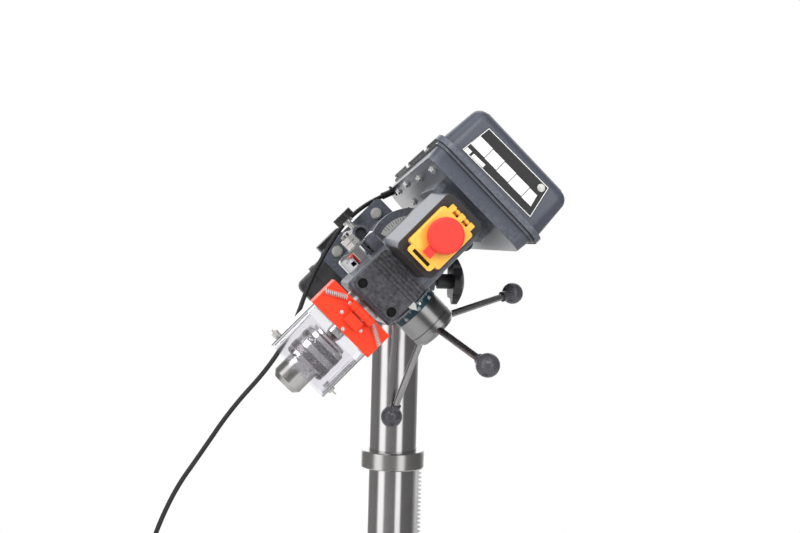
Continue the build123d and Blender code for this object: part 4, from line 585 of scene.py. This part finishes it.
scale_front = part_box("angle_scale")[0].y
SCALE_TICKS = 23
SCALE_FIRST = 35
SCALE_STEP = 5
SCALE_TICK_HALF = 0.4
SCALE_TICK_FAR = 46.4


def on_scale(u, v, height):
    """u is the angle in degrees from the right, v the distance from the tilt axis."""
    angle = radians(u)
    return Vector((v * cos(angle) / 1000, scale_front - height / 1000, TILT_HEIGHT + v * sin(angle) / 1000))


mesh = bmesh.new()
for tick in range(SCALE_TICKS):
    u = SCALE_FIRST + SCALE_STEP * tick
    near = 40.0 if tick % 2 else 42.5
    outline = rectangle(u - SCALE_TICK_HALF, near, u + SCALE_TICK_HALF, SCALE_TICK_FAR)
    plate(mesh, outline, on_scale, *MARK_LAYER)
piece("scale_marks", mesh, label_black, "carrier")

# Painted shade: near-black discs in the cover's holes, where the casting's paint would show, and a darker
# slate disc in the slide bar's bore, partly the bar's own dark end and partly painted shade of the bore
HEAD_FRONT_Y = -58
COVER_HOLES_X = (-26, 26)
COVER_HOLES_Z = -91
BAR_BORE = (-66, 76, -36)
mesh = bmesh.new()
for x in COVER_HOLES_X:
    lathe(mesh, head(x, HEAD_FRONT_Y, COVER_HOLES_Z), -BACK, [(6.35, -0.2), (6.35, 0.3)], 40)
piece("cover_hole_shade_discs", mesh, painted_shade_black, "head")
mesh = bmesh.new()
lathe(mesh, head(*BAR_BORE), -BACK, [(7.7, -0.2), (7.7, 0.3)], 40)
piece("bar_bore_shade_disc", mesh, bar_end_shade_slate, "motor_slide")

# Bolts under the belt tray and screws in the guard
DECK_Z = 77
GUARD_FRONT_Y = -62
TRAY_BOLTS = ((-65.8, -53), (-62.7, 70), (-63.4, 190.8), (-31.7, 262.7), (-58.2, 300))
GUARD_SCREWS = ((-18.7, -135.5), (-2.4, -149.6), (15, -135.2), (-19.6, -120.3))
mesh = bmesh.new()
for x, y in TRAY_BOLTS:
    hex_bolt(mesh, head(x, y, DECK_Z), -UP, 4.8, 5.0, 6.0)
piece("tray_bolts", mesh, zinc, "head")
mesh = bmesh.new()
for x, z in GUARD_SCREWS:
    lathe(mesh, head(x, GUARD_FRONT_Y, z), -BACK, [(2.6, -0.3), (2.6, 0.5), (2.1, 1.2), (1.0, 1.5)], 24)
piece("guard_screws", mesh, zinc, "guard")

# Pale floor
floor_mesh = bmesh.new()
bmesh.ops.create_circle(floor_mesh, cap_ends=True, segments=96, radius=3.2)
floor_data = bpy.data.meshes.new("floor")
floor_mesh.to_mesh(floor_data)
floor_mesh.free()
floor = bpy.data.objects.new("floor", floor_data)
bpy.context.scene.collection.objects.link(floor)
floor_look, _, floor_shader = graph("floor_pale")
floor_shader.inputs["Base Color"].default_value = (0.70, 0.70, 0.70, 1)
floor_shader.inputs["Roughness"].default_value = 0.7
floor_data.materials.append(floor_look)

# World: white behind the part, and light and dark walls round it for metal to mirror
world = bpy.data.worlds.new("studio")
bpy.context.scene.world = world
world.use_nodes = True
tree = world.node_tree
tree.nodes.clear()
seen = add(tree, "ShaderNodeBackground", Color=(1, 1, 1, 1), Strength=1.0)
soft = add(tree, "ShaderNodeBackground", Strength=1.0)
where = add(tree, "ShaderNodeTexCoord")
parts = add(tree, "ShaderNodeSeparateXYZ")
tree.links.new(where.outputs["Generated"], parts.inputs["Vector"])
front = add(tree, "ShaderNodeMath", operation="MULTIPLY")
front.inputs[1].default_value = -1.0
tree.links.new(parts.outputs["Y"], front.inputs[0])
round_about = add(tree, "ShaderNodeMath", operation="ARCTAN2")
tree.links.new(parts.outputs["X"], round_about.inputs[0])
tree.links.new(front.outputs["Value"], round_about.inputs[1])
# Light of the walls by their angle in degrees from the front, to the right
walls = [
    (-180, 1.5), (-160, 1.5), (-145, 0.25), (-80, 0.22), (-70, 1.5), (-48, 1.5), (-40, 0.32), (-20, 0.24),
    (8, 0.20), (15, 1.4), (33, 1.4), (40, 0.16), (110, 0.14), (135, 0.4), (160, 1.5), (180, 1.5)]
stops = [((angle + 180) / 360, (light, light, light)) for angle, light in walls]
share = span(tree, round_about.outputs["Value"], 0.0, 1.0, -pi, pi)
tree.links.new(ramp(tree, share, stops), soft.inputs["Color"])
path = add(tree, "ShaderNodeLightPath")
either = add(tree, "ShaderNodeMath", operation="MAXIMUM")
mix = add(tree, "ShaderNodeMixShader")
out = add(tree, "ShaderNodeOutputWorld")
tree.links.new(path.outputs["Is Camera Ray"], either.inputs[0])
tree.links.new(path.outputs["Is Transmission Ray"], either.inputs[1])
tree.links.new(either.outputs["Value"], mix.inputs["Fac"])
tree.links.new(soft.outputs["Background"], mix.inputs[1])
tree.links.new(seen.outputs["Background"], mix.inputs[2])
tree.links.new(mix.outputs["Shader"], out.inputs["Surface"])


def lamp(name, place, target, size, power, mirrored=False):
    """A soft box; metal shows it only where it is mirrored."""
    data = bpy.data.lights.new(name, "AREA")
    data.shape = "RECTANGLE"
    data.size, data.size_y = size
    data.energy = power
    made = bpy.data.objects.new(name, data)
    made.location = place
    made.rotation_mode = "QUATERNION"
    made.rotation_quaternion = (Vector(target) - Vector(place)).to_track_quat("-Z", "Y")
    made.visible_glossy = mirrored
    bpy.context.scene.collection.objects.link(made)


lamp("left_softbox", (-1.6, -0.8, 2.7), (0, 0, 1.35), (1.0, 1.6), 44)
lamp("right_softbox", (1.25, -2.1, 1.8), (0, 0, 1.35), (0.6, 2.2), 30)
lamp("front_softbox", (-0.4, -2.6, 3.0), (0, 0, 1.3), (1.6, 0.9), 18, mirrored=True)

# Camera at the photograph's viewing angle
camera_data = bpy.data.cameras.new("camera")
camera_data.lens = 50
camera_data.sensor_width = 36
camera = bpy.data.objects.new("camera", camera_data)
camera.location = (-0.232, -1.554, 1.375)
camera.rotation_mode = "QUATERNION"
heading = Matrix.Rotation(radians(-8), 3, "Z")
level = Matrix.Rotation(radians(90), 3, "X")
roll = Matrix.Rotation(radians(1.5), 3, "Z")
camera.rotation_quaternion = (heading @ level @ roll).to_quaternion()
bpy.context.scene.collection.objects.link(camera)
bpy.context.scene.camera = camera
bpy.context.scene.view_settings.view_transform = "Standard"
